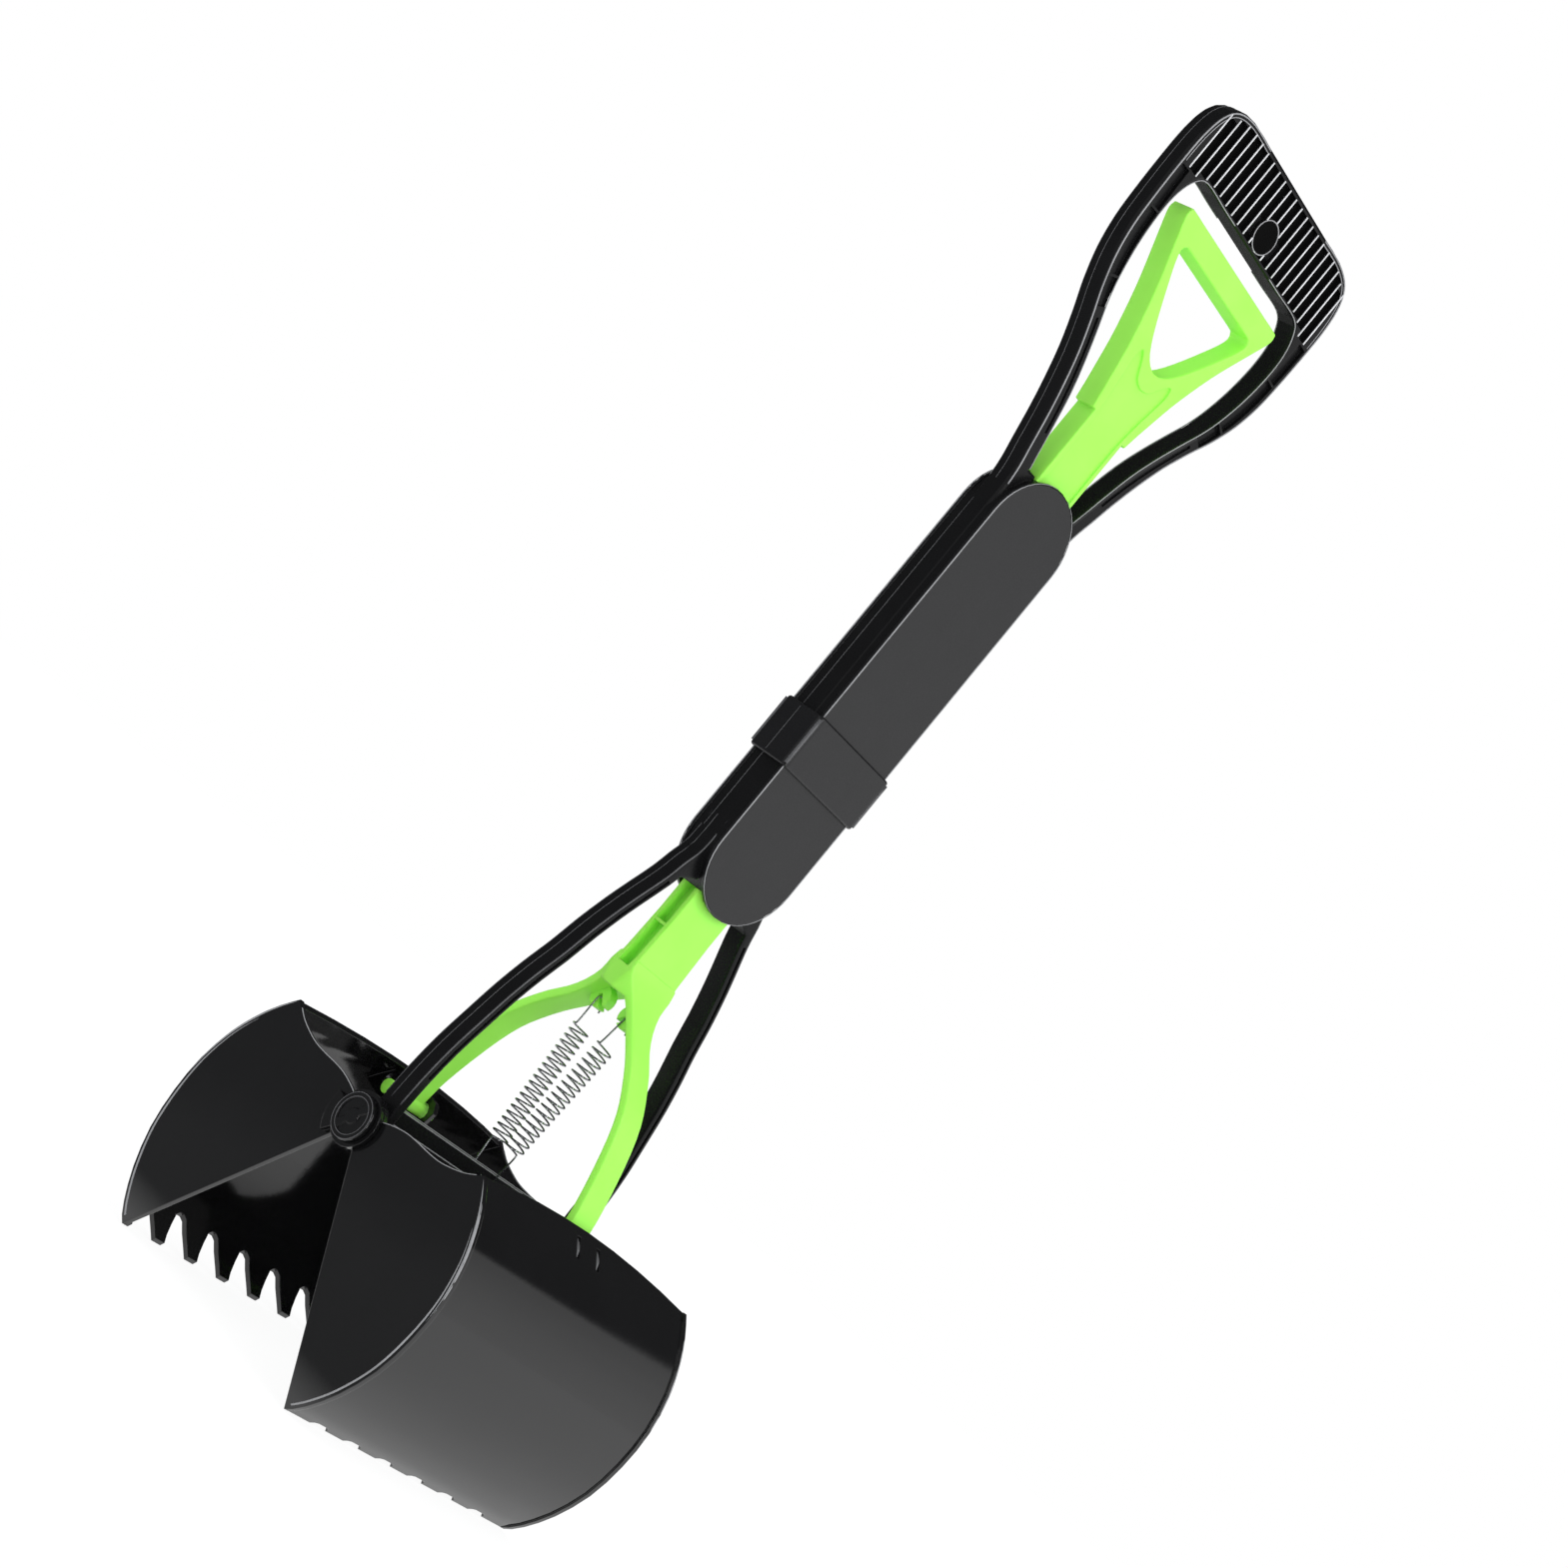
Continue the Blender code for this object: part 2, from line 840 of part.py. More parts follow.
screw_tip = case_half_depth - 2 * cover_plate
slot_width = 0.7 * mm
slot_depth = 0.6 * mm
head_seat = -case_half_depth + head_sink - screw_clearance
for number, (y, z) in enumerate(screw_places, 1):
    bm = bmesh.new()
    head = [from_hinge(ring(y, z, screw_head_radius, 12))]
    add_prism(bm, "X", head, head_seat - screw_head_height, head_seat)
    screw = add_object("case_screw_" + str(number), bm, zinc)
    shank = prism(
        "cutter_shank_" + str(number),
        "X",
        [from_hinge(ring(y, z, screw_radius, 8))],
        head_seat - slot_depth / 2,
        screw_tip,
        helper=True,
    )
    boolean(screw, shank, "UNION")
    bm = bmesh.new()
    slot_end = head_seat - screw_head_height + slot_depth
    reach = screw_head_radius * 0.7
    cross = [
        (slot_width / 2, reach),
        (-slot_width / 2, reach),
        (-slot_width / 2, slot_width / 2),
        (-reach, slot_width / 2),
        (-reach, -slot_width / 2),
        (-slot_width / 2, -slot_width / 2),
        (-slot_width / 2, -reach),
        (slot_width / 2, -reach),
        (slot_width / 2, -slot_width / 2),
        (reach, -slot_width / 2),
        (reach, slot_width / 2),
        (slot_width / 2, slot_width / 2),
    ]
    add_prism(
        bm,
        "X",
        [from_hinge([(y + u, z + v) for u, v in cross])],
        head_seat - screw_head_height - overrun,
        slot_end,
    )
    recess = add_object("cutter_recess_" + str(number), bm, helper=True)
    boolean(screw, recess, "DIFFERENCE")

# Collar: a sleeve that slides on the case

collar_height = 26.0 * mm
collar_low = case_split - collar_height / 2
collar_gap = 0.3 * mm
collar_side_wall = 2.1 * mm
collar_front_wall = 1.7 * mm
collar_half_width = case_half_width + collar_gap + collar_side_wall
collar_half_depth = case_half_depth + collar_gap + collar_front_wall
collar_round = 3.0 * mm
collar_edge = 0.7 * mm
collar_outer = rounded_rectangle(collar_half_depth, collar_half_width, collar_round, 5)
lock_collar = prism(
    "lock_collar",
    "Z",
    [collar_outer],
    hinge_height + collar_low,
    hinge_height + collar_low + collar_height,
    black_satin,
    rims=(True, True),
)
round_rims(lock_collar, collar_edge, 1)
collar_bore = prism(
    "cutter_collar_bore",
    "Z",
    [
        rounded_rectangle(
            case_half_depth + collar_gap, case_half_width + collar_gap, cover_edge / 2, 1
        )
    ],
    hinge_height + collar_low - overrun,
    hinge_height + collar_low + collar_height + overrun,
    helper=True,
)
boolean(lock_collar, collar_bore, "DIFFERENCE")

# Pull trigger: a finger bar on two arms that meet in the sliding stem

pull_bar_low = pull_bar_top - pull_bar_depth
trigger_foot_rise = 12.0 * mm
trigger_foot = case_split + trigger_foot_rise
v_rise = pull_bar_top - shoulder_height
outer_pull_shares = [
    (0.0, 0.0),
    (0.06, 0.10),
    (0.135, 0.205),
    (0.22, 0.32),
    (0.335, 0.44),
    (0.49, 0.58),
    (0.65, 0.70),
    (0.815, 0.815),
    (0.945, 0.905),
    (1.0, 0.955),
    (0.985, 0.985),
    (0.94, 1.0),
    (0.6, 1.0),
]
shoulder_half = stem_half_width + shoulder_step
outer_pull = smooth_path(
    [
        (shoulder_half + (pull_half_width - shoulder_half) * y, shoulder_height + v_rise * z)
        for y, z in outer_pull_shares
    ],
    2,
)
pull_arm_width = 10.0 * mm
gap_half_width = pull_half_width - pull_arm_width
gap_rise = pull_bar_low - crotch_height
inner_pull_shares = [
    (0.0, 0.0),
    (0.12, 0.02),
    (0.26, 0.09),
    (0.42, 0.23),
    (0.60, 0.43),
    (0.78, 0.65),
    (0.91, 0.82),
    (0.965, 0.93),
    (0.93, 0.985),
    (0.85, 1.0),
    (0.4, 1.0),
    (0.0, 1.0),
]
inner_pull = smooth_path(
    [(gap_half_width * y, crotch_height + gap_rise * z) for y, z in inner_pull_shares], 2
)
right_pull = (
    [(0, trigger_foot), (stem_half_width, trigger_foot), (stem_half_width, shoulder_height)]
    + outer_pull
    + [(0, pull_bar_top)]
    + inner_pull[::-1]
)
left_pull = [(0, pull_bar_top) if p == (0, pull_bar_top) else (-p[0], p[1]) for p in right_pull]


def tidy(points):
    """The outline with a point that repeats the one before it left out, and no minus zero."""
    kept = []
    for u, v in points:
        point = (u + 0.0, v)
        if not kept or (Vector(point) - Vector(kept[-1])).length > wire_radius / 100:
            kept.append(point)
    return kept


pull_trigger = prism(
    "pull_trigger",
    "X",
    [tidy(from_hinge(right_pull)), tidy(from_hinge(left_pull))[::-1]],
    -stem_half_depth,
    stem_half_depth,
    lime,
    rims=(True, True),
)
pull_round = 1.8 * mm
round_rims(pull_trigger, pull_round)

# Sunk panels on the stem, front and back, with a curved lip under the crotch

panel_margin = 2.6 * mm
panel_depth = 1.1 * mm
panel_half = stem_half_width - panel_margin
panel_head_drop = 4.0 * mm
panel_head = crotch_height - panel_head_drop
panel_flare = 5.0 * mm
panel_shares = [
    (1.0, -1.0),
    (1.0, -0.55),
    (1.12, -0.3),
    (1.34, -0.08),
    (1.42, 0.03),
    (1.3, 0.1),
    (0.95, 0.05),
    (0.5, -0.055),
    (0.0, -0.085),
]
panel_rise = panel_head - case_top
panel_edge = smooth_path([(panel_half * y, panel_head + panel_rise * z) for y, z in panel_shares], 3)
panel = [(-panel_half, trigger_foot + lap_length), (panel_half, trigger_foot + lap_length)]
panel += panel_edge + mirrored(panel_edge)[::-1][1:]
bm = bmesh.new()
for side in (1, -1):
    ends = sorted((side * (stem_half_depth - panel_depth), side * (stem_half_depth + overrun)))
    add_prism(bm, "X", [tidy(from_hinge(panel))], ends[0], ends[1])
panel_cut = add_object("cutter_panels", bm, helper=True)
boolean(pull_trigger, panel_cut, "DIFFERENCE")

# Trigger and fork meet in a tongue and clevis on one steel pin

joint_rise = 4.0 * mm
joint_height = case_split + joint_rise
tongue_half = 5.0 * mm
joint_gap = 0.3 * mm
joint_round = 4.6 * mm
coupler_radius = 2.0 * mm
tongue = [
    (-joint_round, joint_height),
    *[
        (joint_round * math.cos(a), joint_height + joint_round * math.sin(a))
        for a in (math.pi * (1 + i / 8) for i in range(1, 8))
    ],
    (joint_round, joint_height),
    (joint_round, trigger_foot + overrun),
    (-joint_round, trigger_foot + overrun),
]
tongue_piece = prism(
    "cutter_tongue", "Y", [from_hinge(tongue)], -tongue_half, tongue_half, helper=True
)
boolean(pull_trigger, tongue_piece, "UNION")
coupler_bore = prism(
    "cutter_coupler_bore",
    "Y",
    [from_hinge(ring(0, joint_height, coupler_radius + joint_gap / 2, 16))],
    -stem_half_width - overrun,
    stem_half_width + overrun,
    helper=True,
)
boolean(pull_trigger, coupler_bore, "DIFFERENCE")
coupler_pin = prism(
    "coupler_pin",
    "Y",
    [from_hinge(ring(0, joint_height, coupler_radius, 16))],
    -stem_half_width + joint_gap,
    stem_half_width - joint_gap,
    zinc,
)

# Jaw fork: stem above, two arms spread along X below

arm_shares = [
    (0.10, 1.16, 2.2),
    (0.125, 1.105, 2.15),
    (0.19, 1.035, 1.6),
    (0.285, 0.955, 1.18),
    (0.39, 0.88, 1.0),
    (0.51, 0.805, 1.0),
    (0.64, 0.705, 1.0),
    (0.74, 0.61, 1.0),
    (0.82, 0.495, 1.0),
    (0.89, 0.36, 1.0),
    (0.945, 0.235, 1.0),
    (0.98, 0.13, 1.0),
    (1.0, 0.0, 1.0),
]
fork_rise = fork_crotch - fork_pin_z
arm_reach = fork_pin_x + fork_arm_thickness / 2
arm_path = smooth_path(
    [
        (arm_reach * x, fork_pin_z + fork_rise * z, fork_half_width * w)
        for x, z, w in arm_shares
    ],
    2,
)
arm_outer = [(x, z) for x, z, _ in arm_path]
arm_inner = [(x, min(z, fork_crotch)) for x, z in offset_path(arm_outer, fork_arm_thickness)]
arm_widths = [w for _, _, w in arm_path]
fork_round = 1.3 * mm


def fork_arms(name, look):
    """Both arms in one band that runs from pin to pin under the stem and widens where they meet."""
    right = list(zip(arm_outer, arm_inner, arm_widths))
    stations = [((-a[0], a[1]), (-b[0], b[1]), w) for a, b, w in right[::-1]] + right
    bm = bmesh.new()
    weight = bm.edges.layers.float.new("bevel_weight_edge")
    rows = [
        [
            bm.verts.new((point[0], side * w, point[1] + hinge_height))
            for point, side in ((a, -1), (a, 1), (b, 1), (b, -1))
        ]
        for a, b, w in stations
    ]
    for first, second in zip(rows[:-1], rows[1:]):
        for k in range(4):
            j = (k + 1) % 4
            bm.faces.new([first[k], first[j], second[j], second[k]])
        for k in range(4):
            bm.edges.get((first[k], second[k]))[weight] = 1
    bm.faces.new(rows[0])
    bm.faces.new(rows[-1])
    return add_object(name, bm, look)


jaw_fork = fork_arms("jaw_fork", lime)
round_rims(jaw_fork, fork_round)

# The fork's stem, with a recess down each side and the clevis cheeks at its head

stem_foot = fork_crotch + fork_arm_thickness
flare_rise = 11.0 * mm
flare_reach = 1.7 * mm
flare_height = fork_crotch + flare_rise
flare_half_width = stem_half_width + flare_reach
fork_stem_half = [
    (0, stem_foot),
    (stem_half_width, stem_foot),
    (flare_half_width, flare_height),
    (flare_half_width - (flare_half_width - stem_half_width) * 0.4, flare_height + stem_half_depth),
    (stem_half_width, flare_height + stem_half_width * 2),
    (stem_half_width, joint_height + joint_round),
    (0, joint_height + joint_round),
]
stem_depth_trim = 0.05 * mm
fork_stem = prism(
    "cutter_fork_stem",
    "X",
    [from_hinge(fork_stem_half), tidy(from_hinge(mirrored(fork_stem_half)))[::-1]],
    -stem_half_depth + stem_depth_trim,
    stem_half_depth - stem_depth_trim,
    helper=True,
    rims=(True, True),
)
round_rims(fork_stem, fork_round)
boolean(jaw_fork, fork_stem, "UNION")

side_recess = 4.6 * mm
recess_half_depth = 3.4 * mm
recess_foot = flare_height
recess_head = joint_height - 3 * joint_round
recess_tie = case_bottom * 0.90
tie_half = 0.7 * mm
bm = bmesh.new()
for side in (1, -1):
    ys = sorted((side * (stem_half_width - side_recess), side * (flare_half_width + overrun)))
    for low, high in ((recess_foot, recess_tie - tie_half), (recess_tie + tie_half, recess_head)):
        add_prism(
            bm,
            "Y",
            [from_hinge(rectangle(-recess_half_depth, recess_half_depth, low, high))],
            ys[0],
            ys[1],
        )
clevis_gap = tongue_half + joint_gap
clevis_foot = joint_height - joint_round - joint_gap
add_prism(
    bm,
    "X",
    [from_hinge(rectangle(-clevis_gap, clevis_gap, clevis_foot, joint_height + 3 * joint_round))],
    -stem_half_depth - overrun,
    stem_half_depth + overrun,
)
stem_cut = add_object("cutter_stem_recess", bm, helper=True)
boolean(jaw_fork, stem_cut, "DIFFERENCE")
boolean(jaw_fork, coupler_bore, "DIFFERENCE")

# Cross pins at the arm ends, and slotted hooks that hold the springs

hook_x = 10.0 * mm
hook_drop = 6.0 * mm
hook_z = fork_crotch - hook_drop
hook_radius = 5.5 * mm
hook_half_width = 2.4 * mm
hook_slot = 1.9 * mm
bm = bmesh.new()
for side in (1, -1):
    add_prism(
        bm,
        "Y",
        [from_hinge(ring(side * fork_pin_x, fork_pin_z, fork_pin_radius, 20))],
        -fork_pin_length / 2,
        fork_pin_length / 2,
    )
    add_prism(
        bm,
        "Y",
        [from_hinge(ring(side * hook_x, hook_z, hook_radius, 20))],
        -hook_half_width,
        hook_half_width,
    )
fork_adds = add_object("cutter_fork_adds", bm, helper=True)
boolean(jaw_fork, fork_adds, "UNION")
bm = bmesh.new()
for side in (1, -1):
    slot_turn = math.radians(225 if side > 0 else -45)
    along = Vector((math.cos(slot_turn), math.sin(slot_turn)))
    across = Vector((-along.y, along.x))
    centre = Vector((side * hook_x, hook_z))
    corners = [
        centre - along * hook_slot / 2 + across * hook_slot / 2,
        centre - along * hook_slot / 2 - across * hook_slot / 2,
        centre + along * (hook_radius + overrun) - across * hook_slot / 2,
        centre + along * (hook_radius + overrun) + across * hook_slot / 2,
    ]
    add_prism(
        bm,
        "Y",
        [from_hinge([tuple(c) for c in corners])],
        -hook_half_width - overrun,
        hook_half_width + overrun,
    )
hook_cut = add_object("cutter_hook_slots", bm, helper=True)
boolean(jaw_fork, hook_cut, "DIFFERENCE")

# Jaws, drawn shut about the hinge and then swung open; the left one is the right one turned round

scoop_shares = [
    (0.972, -0.215),
    (0.996, -0.30),
    (1.0, -0.395),
    (0.97, -0.515),
    (0.885, -0.645),
    (0.745, -0.765),
    (0.565, -0.87),
    (0.35, -0.945),
    (0.15, -0.986),
    (0.0, -1.0),
]
scoop_top = (scoop_shares[0][0] * jaw_bulge, scoop_shares[0][1] * jaw_reach)
scoop = smooth_path([(x * jaw_bulge, z * jaw_reach) for x, z in scoop_shares], 2)
wavy_shares = [
    (0.17, -0.012),
    (0.25, -0.026),
    (0.355, -0.052),
    (0.45, -0.086),
    (0.535, -0.121),
    (0.635, -0.158),
    (0.735, -0.184),
    (0.835, -0.203),
    (0.92, -0.211),
]
wavy_edge = smooth_path([(x * jaw_bulge, z * jaw_reach) for x, z in wavy_shares], 2)
plate_inner = jaw_width / 2 - jaw_wall
lug_side_gap = 0.8 * mm
lug_inner = fork_half_width + lug_side_gap
lug_thickness = 2.4 * mm
lug_wall = 3.0 * mm
slot_clearance = 0.85 * mm
pin_open_angle = math.atan2(fork_pin_z, fork_pin_x)
pin_open_reach = math.hypot(fork_pin_x, fork_pin_z)
slot_angle = pin_open_angle - open_angle
pin_shut_z = fork_pin_z - pull_travel
pin_shut_reach = math.hypot(fork_pin_x, pin_shut_z)
pin_least_reach = fork_pin_x


def shell_sheet(name):
    """The curved wall between the side plates, its upper edge arched in the middle."""
    columns_across = 8
    side_end = jaw_width / 2 - jaw_wall / 2
    normal_in = [(max(x, mating_gap), z) for x, z in offset_path(scoop, jaw_wall)]
    bm = bmesh.new()
    rows = []
    for i in range(columns_across + 1):
        y = -side_end + 2 * side_end * i / columns_across
        lift = top_arch * (1 - (2 * i / columns_across - 1) ** 2)
        rise = Vector(scoop[0]) - Vector(scoop[1])
        rise.normalize()
        outer = [Vector(scoop[0]) + rise * lift] + [Vector(p) for p in scoop[1:]]
        inner = [Vector(normal_in[0]) + rise * lift] + [Vector(p) for p in normal_in[1:]]
        loop = outer + inner[::-1]
        rows.append([bm.verts.new((p.x, y, p.y + hinge_height)) for p in loop])
    size = len(rows[0])
    for a, b in zip(rows[:-1], rows[1:]):
        for k in range(size):
            j = (k + 1) % size
            bm.faces.new([a[k], a[j], b[j], b[k]])
    half = size // 2
    for row in (rows[0], rows[-1]):
        for k in range(half - 1):
            bm.faces.new([row[k], row[k + 1], row[size - 2 - k], row[size - 1 - k]])
    return add_object(name, bm, black_gloss)


def plate_outline():
    """One side plate: wavy top edge, curved outer edge with its rim, straight mating edge."""
    rim = offset_path(scoop, -jaw_rim)
    clear = ear_radius + running_gap * 2
    top = [p for p in wavy_edge if math.hypot(*p) > clear * 0.8]
    outline = [(mating_gap, -clear)] + [(clear * 0.72, -clear * 0.55)]
    outline = [(mating_gap, -jaw_reach - jaw_rim * 0.2), (mating_gap, -ear_radius * 0.5)]
    outline += [(ear_radius * 0.4, -ear_radius * 0.3), (ear_radius * 0.8, wavy_edge[0][1])]
    outline += top
    outline += [p for p in rim if p[0] > mating_gap + jaw_rim]
    return outline


def arc(radius, start, end, steps):
    return [
        (
            radius * math.cos(start + (end - start) * i / steps),
            radius * math.sin(start + (end - start) * i / steps),
        )
        for i in range(steps + 1)
    ]


tab_length = 5.0 * mm
tab_reach = ear_radius + tab_length
tab_low_angle = math.radians(-82)
tab_high_angle = math.radians(-22)


def jaw(name, turned, edge_cuts):
    """A jaw: shell, two plates, an outer ear at one end and an inner ear at the other, and slotted lugs."""
    body = shell_sheet(name)
    bm = bmesh.new()
    outline = [(u, v + hinge_height) for u, v in plate_outline()]
    for side in (1, -1):
        ends = sorted((side * plate_inner, side * jaw_width / 2))
        add_prism(bm, "Y", [outline], ends[0], ends[1])
    plates = add_object("cutter_" + name + "_plates", bm, helper=True)
    boolean(body, plates, "UNION")
    clear_ear = prism(
        "cutter_" + name + "_ear_clearance",
        "Y",
        [from_hinge(ring(0, 0, ear_radius + running_gap, 24))],
        plate_inner - overrun,
        jaw_width / 2 + overrun,
        helper=True,
    )
    boolean(body, clear_ear, "DIFFERENCE")
    bm = bmesh.new()
    add_prism(
        bm,
        "Y",
        [from_hinge(ring(0, 0, ear_radius, 24))],
        -jaw_width / 2,
        -plate_inner,
    )
    tab = [(u, v + hinge_height) for u, v in arc(tab_reach, tab_low_angle, tab_high_angle, 6)]
    ear_and_tab = [
        (u, v + hinge_height)
        for u, v in arc(ear_radius, tab_high_angle, tab_low_angle + 2 * math.pi, 20)
    ]
    add_prism(
        bm,
        "Y",
        [tab + ear_and_tab],
        jaw_width / 2 - overrun / 2,
        jaw_width / 2 + ear_thickness,
    )
    ears = add_object("cutter_" + name + "_ears", bm, helper=True)
    keep_clear = prism(
        "cutter_" + name + "_outer_ear_seat",
        "Y",
        [from_hinge(ring(0, 0, ear_radius + 1.5 * running_gap, 24))],
        jaw_width / 2 - overrun,
        jaw_width / 2 + running_gap,
        helper=True,
    )
    boolean(ears, keep_clear, "DIFFERENCE")
    boolean(body, ears, "UNION")
    bores = hinge_bores(
        "cutter_" + name + "_bores",
        pivot_radius + running_gap,
        plate_inner - overrun,
        jaw_width / 2 + ear_thickness + overrun,
    )
    boolean(body, bores, "DIFFERENCE")
    along = Vector((math.cos(slot_angle), math.sin(slot_angle)))
    across = Vector((-along.y, along.x))
    half = fork_pin_radius + slot_clearance + lug_wall
    near = along * (pin_least_reach - half)
    far = along * (jaw_bulge / along.x)
    lug = [near + across * half * 0.55, near - across * half * 0.55]
    lug += [near + along * half * 0.45 - across * half, far - across * half]
    lug += [far + across * half * 0.35, near + along * half * 1.5 + across * half]
    lug += [near + along * half * 0.45 + across * half]
    bm = bmesh.new()
    for side in (1, -1):
        ends = sorted((side * lug_inner, side * (lug_inner + lug_thickness)))
        add_prism(
            bm, "Y", [[(p.x, p.y + hinge_height) for p in lug]], ends[0], ends[1]
        )
    lugs = add_object("cutter_" + name + "_lugs", bm, helper=True)
    outside = prism(
        "cutter_" + name + "_outside",
        "Y",
        [
            from_hinge(
                offset_path(scoop, jaw_wall / 2)
                + [(2 * jaw_bulge, scoop[-1][1]), (2 * jaw_bulge, jaw_bulge), (scoop[0][0] * 0.55, jaw_bulge)]
            )
        ],
        -plate_inner,
        plate_inner,
        helper=True,
    )
    boolean(lugs, outside, "DIFFERENCE")
    boolean(body, lugs, "UNION")
    slot_half = fork_pin_radius + slot_clearance
    slot_near = along * (pin_least_reach - slot_clearance * 0.6)
    slot_far = along * (pin_shut_reach + slot_clearance * 0.6)
    slot = []
    for i in range(7):
        angle = slot_angle - math.pi / 2 + math.pi * i / 6
        slot.append(
            (slot_far.x + slot_half * math.cos(angle), slot_far.y + slot_half * math.sin(angle))
        )
    for i in range(7):
        angle = slot_angle + math.pi / 2 + math.pi * i / 6
        slot.append(
            (slot_near.x + slot_half * math.cos(angle), slot_near.y + slot_half * math.sin(angle))
        )
    slots = prism(
        "cutter_" + name + "_slots",
        "Y",
        [from_hinge(slot)],
        -lug_inner - lug_thickness - overrun,
        lug_inner + lug_thickness + overrun,
        helper=True,
    )
    boolean(body, slots, "DIFFERENCE")
    boolean(body, edge_cuts("cutter_" + name + "_edge"), "DIFFERENCE")
    boolean(body, marks("cutter_" + name + "_marks"), "DIFFERENCE")
    turn = Matrix.Translation(hinge)
    swing = open_angle if turned else -open_angle
    turn = turn @ Matrix.Rotation(swing, 4, "Y")
    if turned:
        turn = turn @ Matrix.Rotation(math.pi, 4, "Z")
    turn = turn @ Matrix.Translation(-hinge)
    for obj in [o for o in bpy.data.objects if o.name == name or o.name.startswith("cutter_" + name)]:
        obj.data.transform(Matrix.Translation(-hinge))
        obj.matrix_world = turn @ Matrix.Translation(hinge)
    return body


def gullets(name):
    """The left jaw's rounded cuts between its teeth, and a half-width one beside each side plate."""
    pitch = jaw_width / (tooth_count + 1)
    root_half = gullet_width / 2
    mouth_half = (pitch - tooth_tip) / 2
    bm = bmesh.new()
    low = hinge_height - jaw_reach - jaw_wall
    high = hinge_height - jaw_reach + tooth_length
    for gap in range(tooth_count + 1):
        centre = (gap - tooth_count / 2) * pitch
        left = mouth_half
        right = mouth_half
        left_root = root_half
        right_root = root_half
        plate_limit = jaw_width / 2 - jaw_wall * 1.35
        if gap == 0:
            left = min(mouth_half, plate_limit + centre)
            left_root = min(root_half, left)
        if gap == tooth_count:
            right = min(mouth_half, plate_limit - centre)
            right_root = min(root_half, right)
        depth = tooth_length - root_half
        outline = [(-overrun, centre - left), (-overrun, centre + right)]
        outline += [(depth * 0.35, centre + (right * 0.7 + right_root * 0.3))]
        for i in range(6):
            angle = math.pi / 2 - math.pi * i / 5
            wide = right_root if angle > 0 else left_root
            outline.append((depth + root_half * math.cos(angle), centre + wide * math.sin(angle)))
        outline += [(depth * 0.35, centre - (left * 0.7 + left_root * 0.3))]
        add_prism(bm, "Z", [outline], low, high)
    return add_object(name, bm, helper=True)


def scallops(name):
    """The right jaw's shallow dips, which the teeth meet when the jaws are shut."""
    pitch = jaw_width / (tooth_count + 1)
    bm = bmesh.new()
    low = hinge_height - jaw_reach - jaw_wall
    high = hinge_height - jaw_reach + tooth_length
    for tooth in range(tooth_count):
        centre = (tooth - (tooth_count - 1) / 2) * pitch
        outline = [(-overrun, centre - scallop_width / 2), (-overrun, centre + scallop_width / 2)]
        outline += [(scallop_depth * x, centre + scallop_width * y) for x, y in scallop_shares]
        add_prism(bm, "Z", [outline], low, high)
    return add_object(name, bm, helper=True)


def marks(name):
    """Two short grooves on the outside of the shell, over the lugs' inner edges."""
    mark_y = 7.2 * mm
    mark_half_width = 1.2 * mm
    mark_length = 9.5 * mm
    mark_depth = 0.9 * mm
    top = Vector(scoop[0])
    down = (Vector(scoop[2]) - Vector(scoop[0])).normalized()
    out = Vector((-down.y, down.x))
    if out.x < 0:
        out = -out
    start = top - down * (mark_length * 0.25)
    end = start + down * mark_length
    polygon = [
        start - out * mark_depth,
        start + out * overrun,
        end + out * overrun,
        end - out * mark_depth,
    ]
    bm = bmesh.new()
    for side in (1, -1):
        centre = side * mark_y
        add_prism(
            bm,
            "Y",
            [[(p.x, p.y + hinge_height) for p in polygon]],
            centre - mark_half_width,
            centre + mark_half_width,
        )
    return add_object(name, bm, helper=True)


right_jaw = jaw("right_jaw", False, scallops)
left_jaw = jaw("left_jaw", True, gullets)

# Hinge pins: a broad head with one rib across it outside the ears and a shank that ends in the leg's eye

head_groove = 0.8 * mm
head_recess_radius = pivot_head_radius * 0.78
rib_angle = math.radians(55)
shank_end = eye_inner + running_gap
for name, side in (("front_hinge_pin", -1), ("rear_hinge_pin", 1)):
    seat = jaw_width / 2 + ear_thickness + running_gap
    ends = sorted((side * seat, side * (seat + pivot_head_height)))
    pin = prism(
        name,
        "Y",
        [from_hinge(ring(0, 0, pivot_head_radius, 24))],
        ends[0],
        ends[1],
        black_gloss,
        rims=(side < 0, side > 0),
    )
    round_rims(pin, head_groove)
    ends = sorted((side * shank_end, side * (seat + head_groove)))
    shank = prism(
        "cutter_" + name + "_shank",
        "Y",
        [from_hinge(ring(0, 0, pivot_radius, 20))],
        ends[0],
        ends[1],
        helper=True,
    )
    boolean(pin, shank, "UNION")
    ends = sorted((side * (seat + pivot_head_height - head_groove), side * (seat + pivot_head_height + overrun)))
    bm = bmesh.new()
    spoke = pivot_head_radius * 0.11
    for half in range(2):
        start = math.pi * half + spoke / head_recess_radius * 2 + rib_angle
        stop = math.pi * (half + 1) - spoke / head_recess_radius * 2 + rib_angle
        outer_arc = arc(head_recess_radius, start, stop, 8)
        inner_arc = arc(head_recess_radius * 0.42, start + 0.12, stop - 0.12, 5)
        sector = outer_arc + inner_arc[::-1]
        add_prism(bm, "Y", [from_hinge(sector)], ends[0], ends[1])
    recess = add_object("cutter_" + name + "_recess", bm, helper=True)
    boolean(pin, recess, "DIFFERENCE")

# Tension springs: hook over the bar, coils, straight wire and hook in the fork

spring_low_x = 5.3 * mm
spring_high_x = 8.8 * mm
coil_low_z = 25.0 * mm
coil_head_drop = 15.0 * mm
coil_high_z = hook_z - coil_head_drop
wire_gap = 0.45 * mm


